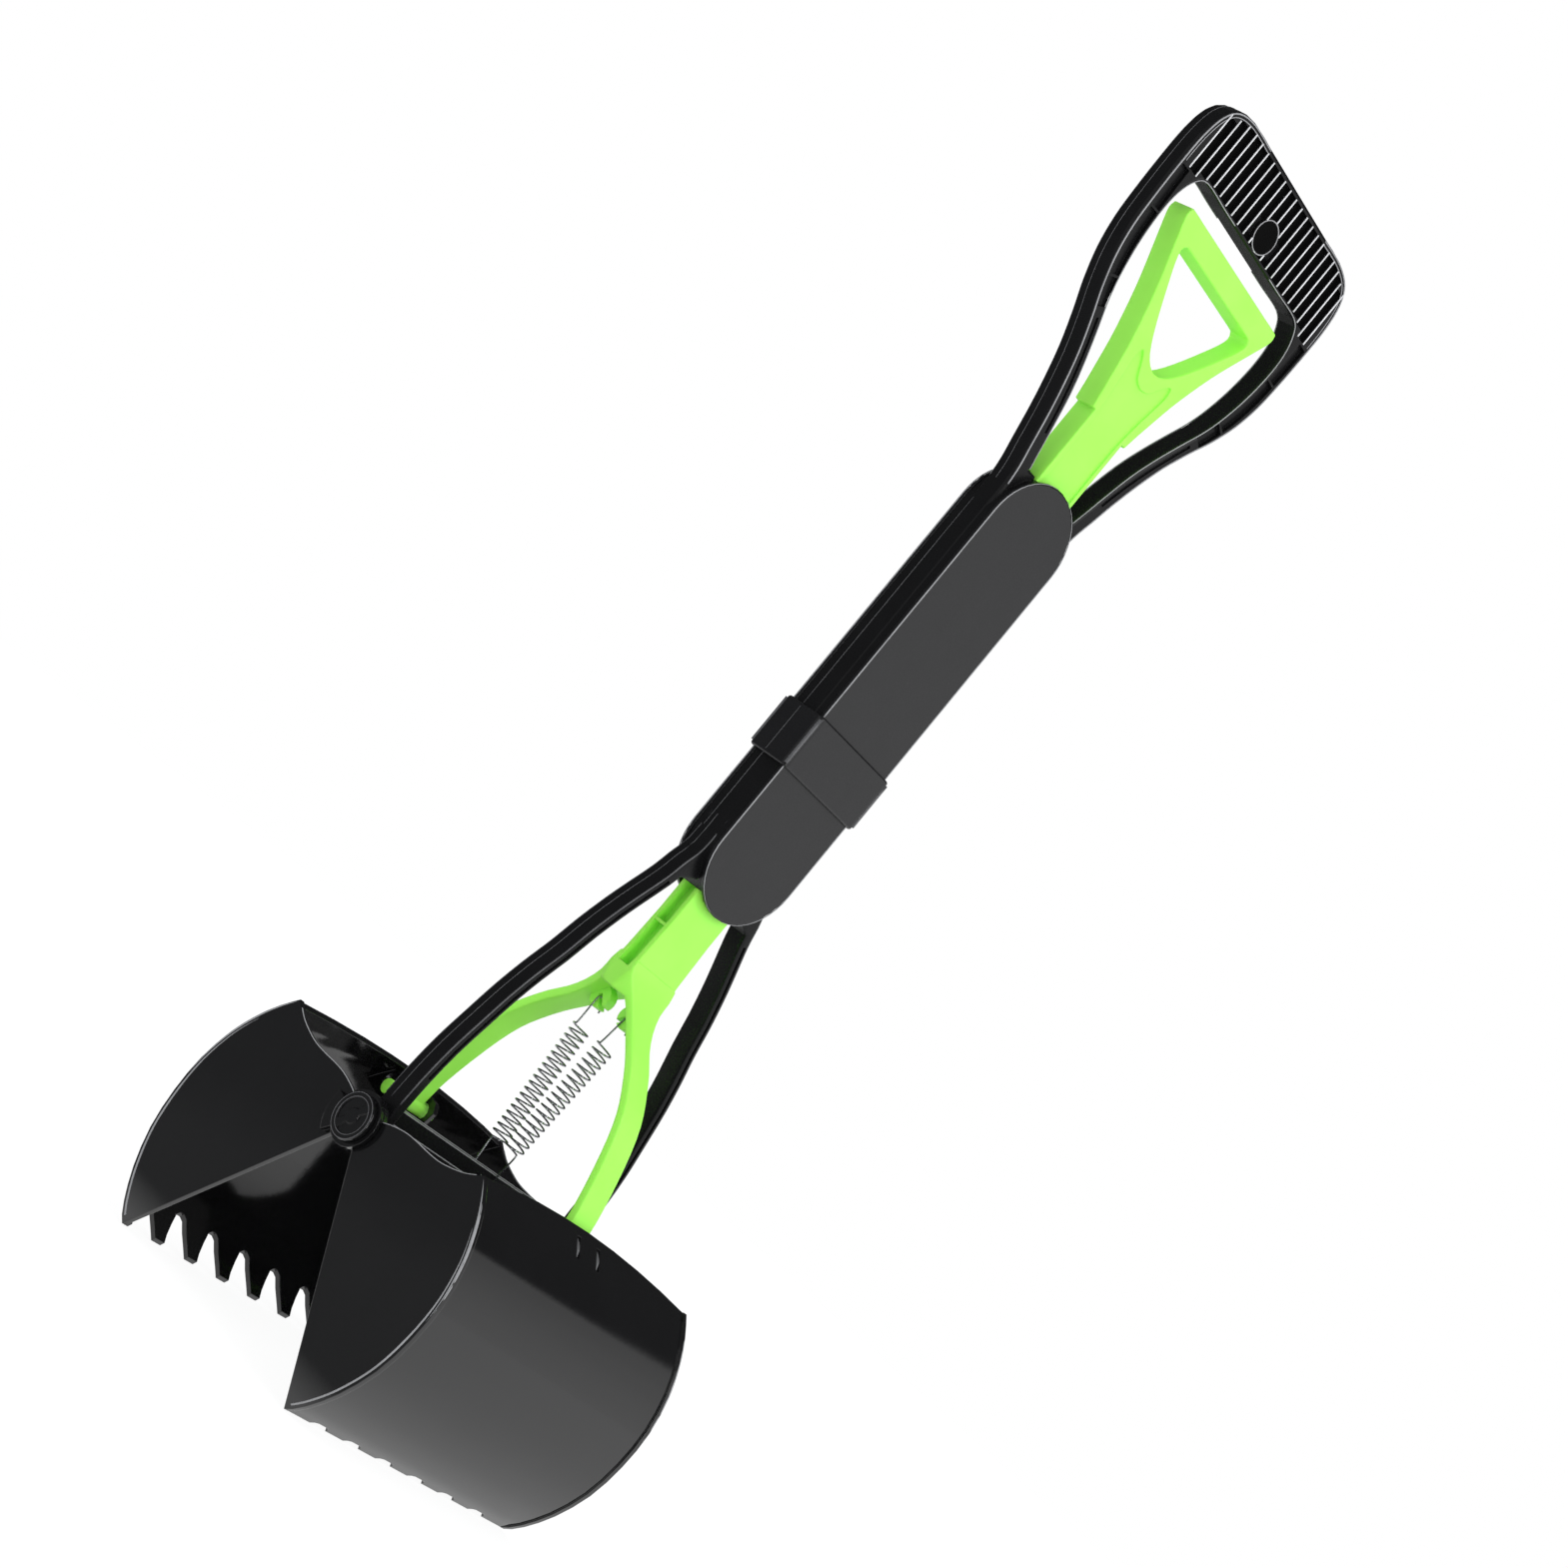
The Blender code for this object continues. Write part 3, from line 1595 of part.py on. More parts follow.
def spring_route(side):
    """The wire's middle line from its end under the bar to its end behind the fork's hook."""
    foot = Vector((side * spring_low_x, 0, coil_low_z))
    head = Vector((side * spring_high_x, 0, coil_high_z))
    axis = (head - foot).normalized()
    aside = Vector((axis.z, 0, -axis.x))
    behind = Vector((0, 1, 0))
    route = []
    bar_side = spring_bar_half_depth + wire_radius + wire_gap
    bar_low = spring_bar_top - spring_bar_height - wire_radius - wire_gap
    lane = Vector((0, side * coil_radius, 0))
    under = spring_bar_top - spring_bar_height / 2
    route.append(Vector((-side * bar_side, lane.y, under + wire_gap)))
    route.append(Vector((-side * bar_side, lane.y, bar_low + wire_radius)))
    route.append(Vector((-side * bar_side * 0.7, lane.y, bar_low)))
    route.append(Vector((side * bar_side * 0.7, lane.y, bar_low)))
    route.append(Vector((side * bar_side, lane.y, bar_low + wire_radius)))
    route.append(Vector((side * bar_side, lane.y, spring_bar_top)))
    turns = coil_count - (side + 1) / 4
    steps = round(turns * coil_points)
    for i in range(steps + 1):
        turn = side * math.pi / 2 + 2 * math.pi * turns * i / steps
        middle = foot + (head - foot) * (i / steps)
        route.append(middle + (aside * math.cos(turn) + behind * math.sin(turn)) * coil_radius)
    slot_turn = math.radians(225 if side > 0 else -45)
    inner = Vector((side * hook_x, 0, hook_z)) + Vector(
        (math.cos(slot_turn), 0, math.sin(slot_turn))
    ) * (wire_radius * 0.5)
    front = hook_half_width + wire_radius + wire_gap
    route.append(Vector((inner.x, -front, inner.z - wire_radius * 3)))
    route.append(Vector((inner.x, -front + wire_radius, inner.z)))
    route.append(Vector((inner.x, front - wire_radius, inner.z)))
    route.append(Vector((inner.x, front, inner.z - wire_radius * 3)))
    route.append(Vector((inner.x, front, inner.z - hook_radius - wire_radius * 2)))
    return route


def least_self_gap(route):
    """Least clear distance between parts of the wire that aren't next to each other along it."""
    apart = 2 * coil_radius
    along = [0.0]
    for a, b in zip(route[:-1], route[1:]):
        along.append(along[-1] + (b - a).length)
    least = jaw_width
    for i, a in enumerate(route):
        for j in range(i + 1, len(route)):
            if along[j] - along[i] > apart:
                least = min(least, (a - route[j]).length - 2 * wire_radius)
    return least


def tube(name, route, radius, sides, look):
    bm = bmesh.new()
    rings = []
    normal = None
    for i, point in enumerate(route):
        before = route[max(i - 1, 0)]
        after = route[min(i + 1, len(route) - 1)]
        along = (after - before).normalized()
        if normal is None:
            normal = along.orthogonal().normalized()
        normal = (normal - along * normal.dot(along)).normalized()
        other = along.cross(normal)
        rings.append(
            [
                bm.verts.new(
                    point
                    + hinge
                    + normal * radius * math.cos(2 * math.pi * k / sides)
                    + other * radius * math.sin(2 * math.pi * k / sides)
                )
                for k in range(sides)
            ]
        )
    for a, b in zip(rings[:-1], rings[1:]):
        for k in range(sides):
            j = (k + 1) % sides
            bm.faces.new([a[k], a[j], b[j], b[k]])
    bm.faces.new(rings[0])
    bm.faces.new(rings[-1])
    return add_object(name, bm, look)


for name, side in (("left_spring", -1), ("right_spring", 1)):
    route = spring_route(side)
    print(name, "least gap to itself", round(least_self_gap(route) / mm, 2), "mm")
    tube(name, route, wire_radius, 6, steel)

# Origins of the moving pieces sit on what they turn about or slide along


def move_origin(obj, place):
    offset = Matrix.Translation(place)
    obj.data.transform(offset.inverted() @ obj.matrix_world)
    obj.matrix_world = offset


for name in ("pull_trigger", "jaw_fork", "coupler_pin", "lock_collar", "front_hinge_pin", "rear_hinge_pin"):
    move_origin(bpy.data.objects[name], hinge)

for obj in bpy.data.objects:
    if obj.type == "MESH" and not obj.hide_render:
        obj.data.shade_smooth()
        obj.data.set_sharp_from_angle(angle=math.radians(32))
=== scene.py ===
import math

import bmesh
import bpy
from mathutils import Matrix, Vector


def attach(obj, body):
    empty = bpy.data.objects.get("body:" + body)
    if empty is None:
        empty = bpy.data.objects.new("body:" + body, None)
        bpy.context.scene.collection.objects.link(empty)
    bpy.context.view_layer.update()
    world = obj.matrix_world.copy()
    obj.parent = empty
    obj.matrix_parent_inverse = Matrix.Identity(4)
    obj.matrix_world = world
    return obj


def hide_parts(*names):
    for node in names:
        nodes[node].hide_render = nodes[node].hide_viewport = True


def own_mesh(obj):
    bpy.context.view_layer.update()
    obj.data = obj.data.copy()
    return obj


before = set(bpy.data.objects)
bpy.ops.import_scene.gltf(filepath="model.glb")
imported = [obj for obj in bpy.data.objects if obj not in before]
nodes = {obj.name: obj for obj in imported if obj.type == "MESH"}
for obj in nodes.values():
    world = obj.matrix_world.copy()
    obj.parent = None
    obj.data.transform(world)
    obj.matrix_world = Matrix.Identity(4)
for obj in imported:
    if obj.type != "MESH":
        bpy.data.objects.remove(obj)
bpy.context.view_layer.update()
mm = 0.001
ends = {-1: "Front", 1: "Rear"}  # the two ends of the hinge axis, by the sign of Y
sides = {1: "Right", -1: "Left"}  # the two faces of the handle, by the sign of X

scene = bpy.context.scene
scene.view_settings.view_transform = "Standard"


# small helpers

def hexColour(code):
    code = code.lstrip("#")
    linear = []
    for i in (0, 2, 4):
        c = int(code[i:i + 2], 16) / 255
        linear.append(c / 12.92 if c <= 0.04045 else ((c + 0.055) / 1.055) ** 2.4)
    return (*linear, 1)


def addNode(tree, kind, links=None, inputs=None, **settings):
    node = tree.nodes.new(kind)
    for name, value in settings.items():
        setattr(node, name, value)
    for name, value in (inputs or {}).items():
        node.inputs[name].default_value = value
    for name, source in (links or {}).items():
        tree.links.new(source, node.inputs[name])
    return node


def newMaterial(name):
    material = bpy.data.materials.new(name)
    material.use_nodes = True
    material.node_tree.nodes.clear()
    return material, material.node_tree


def newPiece(name, points, faces, material, body):
    mesh = bpy.data.meshes.new(name)
    mesh.from_pydata([tuple(p) for p in points], [], faces)
    mesh.validate()
    bm = bmesh.new()
    bm.from_mesh(mesh)
    bmesh.ops.recalc_face_normals(bm, faces=bm.faces)
    bm.to_mesh(mesh)
    bm.free()
    piece = bpy.data.objects.new(name, mesh)
    scene.collection.objects.link(piece)
    mesh.materials.append(material)
    mesh.shade_smooth()
    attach(piece, body)
    return piece


def smoothPath(points, steps):
    padded = [points[0]] + list(points) + [points[-1]]
    found = []
    for i in range(1, len(padded) - 2):
        p0, p1, p2, p3 = (Vector(p) for p in padded[i - 1:i + 3])
        for k in range(steps):
            t = k / steps
            square = (2 * p0 - 5 * p1 + 4 * p2 - p3) * t * t
            cube = (3 * p1 - p0 - 3 * p2 + p3) * t ** 3
            found.append(0.5 * (2 * p1 + (p2 - p0) * t + square + cube))
    found.append(Vector(points[-1]))
    return found


def evenSteps(low, high, steps):
    return [low + (high - low) * i / steps for i in range(steps + 1)]


def circlePoints(radius, closed=True, step=12):  # step in degrees
    turns = [math.radians(a) for a in range(0, 361 if closed else 360, step)]
    return [(radius * math.cos(t), radius * math.sin(t)) for t in turns]


# camera, fitted to the photograph: its place in metres, and the picture's right, down and depth directions

camera = {
    "lens": 72.04,
    "sensor": 36,
    "nearest": 0.01,
    "place": (0.89101, -0.96332, 0.21178),
    "right": Vector((0.59728, 0.49086, 0.63429)),
    "down": Vector((0.42470, 0.47731, -0.76929)),
    "forward": Vector((-0.68036, 0.72886, 0.07662)),
}
cameraData = bpy.data.cameras.new("photoCamera")
cameraData.lens = camera["lens"]
cameraData.sensor_width = camera["sensor"]
cameraData.sensor_height = camera["sensor"]
cameraData.sensor_fit = "HORIZONTAL"
cameraData.clip_start = camera["nearest"]
photoCamera = bpy.data.objects.new("photoCamera", cameraData)
scene.collection.objects.link(photoCamera)
turn = Matrix((camera["right"], -camera["down"], -camera["forward"])).transposed().to_4x4()
photoCamera.matrix_world = Matrix.Translation(camera["place"]) @ turn
scene.camera = photoCamera
print("camera placed")

# light: a pale studio with one broad lamp on the right and a weaker one in front

studio = {
    "worldStrength": 1.05,
    "worldColour": "#f4f6f8",
    "target": (0, 0, 0.3),
    "keyPower": 8,
    "keySize": 0.9,
    "keyPlace": (1.5, 0.35, 1.35),
    "fillPower": 3,
    "fillSize": 1.4,
    "fillPlace": (0.1, -1.9, 0.9),
    "stripPower": 6,  # upright strip that draws the bright lines on the rounded edges
    "stripWidth": 0.14,
    "stripHeight": 1.5,
    "stripPlace": (1.55, -0.5, 0.45),
    "brightSide": (0.42, 0.5, -0.95),  # black gloss mirrors a bright screen low on the right, dim walls elsewhere
    "screenFrom": 0.20,
    "screenTo": 0.25,
    "screenFade": 0.75,
    "screenLow": 0.62,
    "dimWall": 0.06,
    "ripple": 0.22,  # makes the screen's edge wander
    "rippleScale": 4.5,
    "rippleDetail": 2.0,
    "floorHalf": 3.0,
    "floorDrop": 0.0005,
    "floorWhiteShare": 0.86,  # the rest is painted and keeps the shadow
    "floorGlow": 1.06,
    "floorDark": 0.93,
    "floorPale": 0.97,
    "floorGrainScale": 40.0,
    "floorGrainDetail": 3.0,
    "mirrorDarkFrom": -0.10,  # painted reflection: mirrors see the floor dark in front of this Y and beyond this -X
    "mirrorDarkTo": -0.17,
    "farFrom": -0.35,
    "farTo": -0.6,
    "mirrorDarkTone": 0.07,
}


def areaLamp(name, place, size, power):
    lampData = bpy.data.lights.new(name, "AREA")
    lampData.shape = "SQUARE"
    lampData.size = size
    lampData.energy = power
    lamp = bpy.data.objects.new(name, lampData)
    scene.collection.objects.link(lamp)
    aim = Vector(studio["target"]) - Vector(place)
    lamp.matrix_world = Matrix.Translation(place) @ aim.to_track_quat("-Z", "Y").to_matrix().to_4x4()
    return lamp


areaLamp("keyLamp", studio["keyPlace"], studio["keySize"], studio["keyPower"])
areaLamp("fillLamp", studio["fillPlace"], studio["fillSize"], studio["fillPower"])
strip = areaLamp("edgeStrip", studio["stripPlace"], studio["stripWidth"], studio["stripPower"])
strip.data.shape = "RECTANGLE"
strip.data.size_y = studio["stripHeight"]


def seenDirectly(tree):  # the camera's own view, and that view with mirrored and see-through rays added
    rays = addNode(tree, "ShaderNodeLightPath").outputs
    direct = rays["Is Camera Ray"]
    seen = addNode(tree, "ShaderNodeMath", {0: direct, 1: rays["Is Transmission Ray"]}, operation="MAXIMUM")
    seen = addNode(tree, "ShaderNodeMath", {0: seen.outputs[0], 1: rays["Is Glossy Ray"]}, operation="MAXIMUM")
    return direct, seen.outputs[0]


world = bpy.data.worlds.new("paleStudio")
scene.world = world
world.cycles.sampling_method = "NONE"
world.use_nodes = True
tree = world.node_tree
tree.nodes.clear()
direct, seen = seenDirectly(tree)
lit = addNode(tree, "ShaderNodeBackground",
              inputs={"Color": hexColour(studio["worldColour"]), "Strength": studio["worldStrength"]})
heading = addNode(tree, "ShaderNodeTexCoord").outputs["Generated"]
facing = addNode(tree, "ShaderNodeVectorMath", {0: heading}, {1: studio["brightSide"]}, operation="DOT_PRODUCT")
fold = addNode(tree, "ShaderNodeTexNoise", {"Vector": heading},
               {"Scale": studio["rippleScale"], "Detail": studio["rippleDetail"]})
fold = addNode(tree, "ShaderNodeMath", {0: fold.outputs["Fac"]}, {1: studio["ripple"]}, operation="MULTIPLY")
facing = addNode(tree, "ShaderNodeMath", {0: facing.outputs["Value"], 1: fold.outputs[0]}, operation="ADD")
fade = addNode(tree, "ShaderNodeMapRange", {"Value": facing.outputs[0]},
               {"From Min": studio["screenTo"], "From Max": studio["screenFade"],
                "To Min": studio["screenLow"], "To Max": 1.0})
screen = addNode(tree, "ShaderNodeMapRange", {"Value": facing.outputs[0], "To Max": fade.outputs[0]},
                 {"From Min": studio["screenFrom"], "From Max": studio["screenTo"], "To Min": studio["dimWall"]},
                 interpolation_type="SMOOTHSTEP")
plainWhite = addNode(tree, "ShaderNodeMath", {0: screen.outputs[0], 1: direct}, operation="MAXIMUM")
white = addNode(tree, "ShaderNodeBackground", {"Color": plainWhite.outputs[0]}, {"Strength": 1.0})
both = addNode(tree, "ShaderNodeMixShader", {0: seen, 1: lit.outputs[0], 2: white.outputs[0]})
addNode(tree, "ShaderNodeOutputWorld", {"Surface": both.outputs[0]})

floorMaterial, tree = newMaterial("paleFloor")
direct, seen = seenDirectly(tree)
grain = addNode(tree, "ShaderNodeTexNoise",
                inputs={"Scale": studio["floorGrainScale"], "Detail": studio["floorGrainDetail"]})
shade = addNode(tree, "ShaderNodeMapRange", {"Value": grain.outputs[0]},
                {"To Min": studio["floorDark"], "To Max": studio["floorPale"]})
paint = addNode(tree, "ShaderNodeBsdfDiffuse", {"Color": shade.outputs[0]})
ground = addNode(tree, "ShaderNodeSeparateXYZ", {0: addNode(tree, "ShaderNodeTexCoord").outputs["Object"]})
# painted reflection: mirrored rays see the floor dark on its front left, while the camera still sees it white
mirrorDark = addNode(tree, "ShaderNodeMapRange", {"Value": ground.outputs["Y"]},
                {"From Min": studio["mirrorDarkTo"], "From Max": studio["mirrorDarkFrom"],
                 "To Min": studio["mirrorDarkTone"], "To Max": 1.0})
far = addNode(tree, "ShaderNodeMapRange", {"Value": ground.outputs["X"]},
              {"From Min": studio["farTo"], "From Max": studio["farFrom"],
               "To Min": studio["mirrorDarkTone"], "To Max": 1.0})
mirrorDark = addNode(tree, "ShaderNodeMath", {0: mirrorDark.outputs[0], 1: far.outputs[0]}, operation="MULTIPLY")
mirrorDark = addNode(tree, "ShaderNodeMath", {0: mirrorDark.outputs[0], 1: direct}, operation="MAXIMUM")
glow = addNode(tree, "ShaderNodeEmission", {"Color": mirrorDark.outputs[0]}, {"Strength": studio["floorGlow"]})
share = addNode(tree, "ShaderNodeMath", {0: seen}, {1: studio["floorWhiteShare"]}, operation="MULTIPLY")
both = addNode(tree, "ShaderNodeMixShader", {0: share.outputs[0], 1: paint.outputs[0], 2: glow.outputs[0]})
addNode(tree, "ShaderNodeOutputMaterial", {"Surface": both.outputs[0]})
half, drop = studio["floorHalf"], -studio["floorDrop"]
floorMesh = bpy.data.meshes.new("floor")
floorCorners = [(-half, -half, drop), (half, -half, drop), (half, half, drop), (-half, half, drop)]
floorMesh.from_pydata(floorCorners, [], [(0, 1, 2, 3)])
floorMesh.materials.append(floorMaterial)
floor = bpy.data.objects.new("floor", floorMesh)
scene.collection.objects.link(floor)
print("studio lit")


# materials: pattern sizes are those of the real surface, and a comment says where one is drawn coarser to show

noiseSpan = {"From Min": 0.3, "From Max": 0.7}  # nearly all of the noise lies between these
plasticPattern = {
    "grainDetail": 4.0, "grainRoughness": 0.6, "grainDepth": 0.12,  # depths are shares of the pattern's own size
    "flowDetail": 3.0, "flowRoughness": 0.5, "flowDepth": 0.02,
    "edgeSamples": 6, "glowScale": 0.001,
}


def toneBetween(tree, factor, look):
    tone = addNode(tree, "ShaderNodeMix", {"Factor": factor}, data_type="RGBA")
    tone.inputs["A"].default_value = hexColour(look["darkTone"])
    tone.inputs["B"].default_value = hexColour(look["lightTone"])
    return tone.outputs["Result"]


def mouldedPlastic(name, look):
    material, tree = newMaterial(name)
    place = addNode(tree, "ShaderNodeTexCoord").outputs["Object"]
    grain = addNode(tree, "ShaderNodeTexNoise", {"Vector": place},
                    {"Scale": 1 / look["grainSize"], "Detail": plasticPattern["grainDetail"],
                     "Roughness": plasticPattern["grainRoughness"]})
    flow = addNode(tree, "ShaderNodeTexNoise", {"Vector": place},
                   {"Scale": 1 / look["flowSize"], "Detail": plasticPattern["flowDetail"],
                    "Roughness": plasticPattern["flowRoughness"]})
    rough = addNode(tree, "ShaderNodeMapRange", {"Value": grain.outputs["Fac"]},
                    dict(noiseSpan, **{"To Min": look["roughLow"], "To Max": look["roughHigh"]}))
    edge = addNode(tree, "ShaderNodeBevel", inputs={"Radius": look["edgeRound"]},
                   samples=plasticPattern["edgeSamples"])
    wave = addNode(tree, "ShaderNodeBump", {"Height": flow.outputs["Fac"], "Normal": edge.outputs[0]},
                   {"Strength": look["flowStrength"], "Distance": look["flowSize"] * plasticPattern["flowDepth"]})
    bump = addNode(tree, "ShaderNodeBump", {"Height": grain.outputs["Fac"], "Normal": wave.outputs[0]},
                   {"Strength": look["grainStrength"], "Distance": look["grainSize"] * plasticPattern["grainDepth"]})
    shader = addNode(tree, "ShaderNodeBsdfPrincipled",
                     {"Base Color": toneBetween(tree, flow.outputs["Fac"], look), "Roughness": rough.outputs[0],
                      "Normal": bump.outputs[0]},
                     {"IOR": look["ior"], "Specular IOR Level": look["specular"]})
    if "glowThrough" in look:
        shader.inputs["Subsurface Weight"].default_value = look["glowThrough"]
        shader.inputs["Subsurface Radius"].default_value = look["glowRadius"]
        shader.inputs["Subsurface Scale"].default_value = plasticPattern["glowScale"]
    addNode(tree, "ShaderNodeOutputMaterial", {"Surface": shader.outputs[0]})
    return material


# polypropylene, injection moulded in a finely etched mould: a soft dark sheen with no clear reflection, a fine
# grain (drawn at 0.8 mm, coarser than the real etch, so that it shows) and faint 14 mm waves from shrinkage
satinBlack = {
    "darkTone": "#141416", "lightTone": "#19191b", "roughLow": 0.26, "roughHigh": 0.38, "ior": 1.49, "specular": 0.5,
    "grainSize": 0.8 * mm, "grainStrength": 0.25, "flowSize": 14 * mm, "flowStrength": 0.3, "edgeRound": 0.45 * mm,
}
satinPolypropylene = mouldedPlastic("satinBlackPolypropylene", satinBlack)

# the same plastic on the narrow arms, legs and rails as a shaded copy: painted shade makes it blacker and less shiny,
# for the little of the studio a slim bar mirrors
armShadeBlack = dict(satinBlack, darkTone="#101011", lightTone="#151516", specular=0.2, roughLow=0.24, roughHigh=0.34)
armShadePolypropylene = mouldedPlastic("paintedShadeBlackPolypropylene", armShadeBlack)

# ABS, injection moulded in a polished mould: deep black that mirrors the studio, with a faint 1.2 mm orange peel
# and swells 24 mm across that bend the edge of what it mirrors
glossBlack = {
    "darkTone": "#0d0d0e", "lightTone": "#121213", "roughLow": 0.05, "roughHigh": 0.09, "ior": 1.54, "specular": 0.55,
    "grainSize": 1.2 * mm, "grainStrength": 0.05, "flowSize": 24 * mm, "flowStrength": 0.09, "edgeRound": 0.5 * mm,
}
glossAbs = mouldedPlastic("glossBlackAbs", glossBlack)

# polypropylene dyed through, injection moulded in a lightly etched mould: a half matt skin (its grain drawn
# coarser, as above) over a milky body, where light spreads a millimetre or two, so that shaded sides stay green
limeGreen = {
    "darkTone": "#98f24e", "lightTone": "#a5f95c", "roughLow": 0.34, "roughHigh": 0.46, "ior": 1.49, "specular": 0.35,
    "grainSize": 0.8 * mm, "grainStrength": 0.15, "flowSize": 18 * mm, "flowStrength": 0.25, "edgeRound": 0.7 * mm,
    "glowThrough": 0.12, "glowRadius": (1.2, 2.4, 0.6),
}
limePolypropylene = mouldedPlastic("limePolypropylene", limeGreen)

# ABS corner left smooth by the mould, painted pale as a glint: a thin light line standing for a lamp's highlight, its
# fine scratches drawn coarser, at 0.6 mm
glintEdge = {
    "darkTone": "#7c7c7e", "lightTone": "#a2a2a4", "roughLow": 0.2, "roughHigh": 0.32, "ior": 1.49, "specular": 0.6,
    "grainSize": 0.6 * mm, "grainStrength": 0.1, "flowSize": 9 * mm, "flowStrength": 0.2, "edgeRound": 0.1 * mm,
}
glintEdgeAbs = mouldedPlastic("paintedGlintEdgeAbs", glintEdge)

# polypropylene squeezed out where the mould's halves meet: a fine dull ridge, painted a little paler than the faces
# as a highlight;
# the same pale colour paints glints on the leg ridges, cap rings, collar corners and the shell's marks
seamAndGlint = dict(glintEdge, darkTone="#454547", lightTone="#5c5c5e")
seamAndGlintPolypropylene = mouldedPlastic("mouldSeamAndGlintPolypropylene", seamAndGlint)

# polypropylene on the crests of the grip's moulded fins, painted nearly white: painted glint lines on the black grip
finCrestGlint = dict(glintEdge, darkTone="#cfcfd1", lightTone="#ebebed")
crestGlintPolypropylene = mouldedPlastic("paintedGlintFinPolypropylene", finCrestGlint)

# painted shade: flat near-black polypropylene sheets on the pocket floors between the fins, where little light falls,
# and on the boss's face, hiding its reflection
pocketShadeBlack = dict(armShadeBlack, darkTone="#060606", lightTone="#0a0a0a", specular=0.05, roughLow=0.7, roughHigh=0.85)
pocketShadePolypropylene = mouldedPlastic("paintedShadePocketPolypropylene", pocketShadeBlack)

steelPattern = {"detail": 3.0, "bumpStrength": 0.2, "markDepth": 0.1}


def steelSurface(name, look):
    material, tree = newMaterial(name)
    place = addNode(tree, "ShaderNodeTexCoord").outputs["Object"]
    marks = addNode(tree, "ShaderNodeTexNoise", {"Vector": place},
                    {"Scale": 1 / look["markSize"], "Detail": steelPattern["detail"]})
    rough = addNode(tree, "ShaderNodeMapRange", {"Value": marks.outputs["Fac"]},
                    dict(noiseSpan, **{"To Min": look["roughLow"], "To Max": look["roughHigh"]}))
    bump = addNode(tree, "ShaderNodeBump", {"Height": marks.outputs["Fac"]},
                   {"Strength": steelPattern["bumpStrength"],
                    "Distance": look["markSize"] * steelPattern["markDepth"]})
    shader = addNode(tree, "ShaderNodeBsdfPrincipled",
                     {"Base Color": toneBetween(tree, marks.outputs["Fac"], look), "Roughness": rough.outputs[0],
                      "Normal": bump.outputs[0]},
                     {"Metallic": 1.0})
    addNode(tree, "ShaderNodeOutputMaterial", {"Surface": shader.outputs[0]})
    return material


# spring steel, cold drawn through a die: bright wire whose shine breaks up in drawing marks (real ones are far
# finer than 0.5 mm and would not show)
brightWire = {"darkTone": "#8a8c90", "lightTone": "#b4b6ba", "roughLow": 0.16, "roughHigh": 0.3, "markSize": 0.5 * mm}
springSteel = steelSurface("drawnSpringSteel", brightWire)

# mild steel, zinc plated, on the screws and the hidden pin: a pale, slightly mottled grey shine
zincScrew = {"darkTone": "#9c9ea0", "lightTone": "#c0c2c4", "roughLow": 0.25, "roughHigh": 0.45, "markSize": 0.7 * mm}
zincPlate = steelSurface("zincPlatedSteel", zincScrew)
print("materials mixed")


# dressed copies of the mouldings: the CAD shape with its edges softened as the mould leaves them

softening = {
    "mergeDistance": 0.004 * mm, "flatAngle": math.radians(0.6), "sharpAngle": math.radians(30), "shadingWeight": 80,
    "frameEdge": 0.3 * mm, "coverEdge": 0.2 * mm, "collarEdge": 0.8 * mm, "greenEdge": 0.35 * mm,
    "pinEdge": 0.25 * mm,
}
jaws = {
    "bulge": 70.5 * mm, "reach": 118.6 * mm, "wall": 2.4 * mm, "openAngle": math.radians(34.7),
    "hingeHeight": 97.62 * mm, "edgeSoftness": 0.4 * mm,
    "scoopShares": [  # the shell's curve from the top edge to the tip, as shares of bulge and reach
        (0.972, -0.215), (0.996, -0.30), (1.0, -0.395), (0.97, -0.515), (0.885, -0.645),
        (0.745, -0.765), (0.565, -0.87), (0.35, -0.945), (0.15, -0.986), (0.0, -1.0),
    ],
    "scoopSteps": 12,
    "endFaceTilt": 0.06,  # a face tilted more than this along Y is no part of the curved shell
    "shellWalls": 1.6,  # nor is one further from the curve than this many walls
    "shellFacing": 0.93,  # nor one that faces along the curve more than across it
}
hinge = Vector((0, 0, jaws["hingeHeight"]))
scoop = smoothPath([(x * jaws["bulge"], z * jaws["reach"]) for x, z in jaws["scoopShares"]], jaws["scoopSteps"])
scoopNormals = []
for i in range(len(scoop)):
    along = (scoop[min(i + 1, len(scoop) - 1)] - scoop[max(i - 1, 0)]).normalized()
    scoopNormals.append(Vector((-along.y, along.x)))


def toShutJaw(turned):  # from a jaw as it lies open to the right jaw shut, with the hinge at the origin
    turn = Matrix.Rotation(jaws["openAngle"], 4, "Y")
    if turned:
        turn = Matrix.Rotation(math.pi, 4, "Z") @ Matrix.Rotation(-jaws["openAngle"], 4, "Y")
    return turn @ Matrix.Translation(-hinge)


def nearestScoop(x, z):
    return min(range(len(scoop)), key=lambda k: (scoop[k].x - x) ** 2 + (scoop[k].y - z) ** 2)


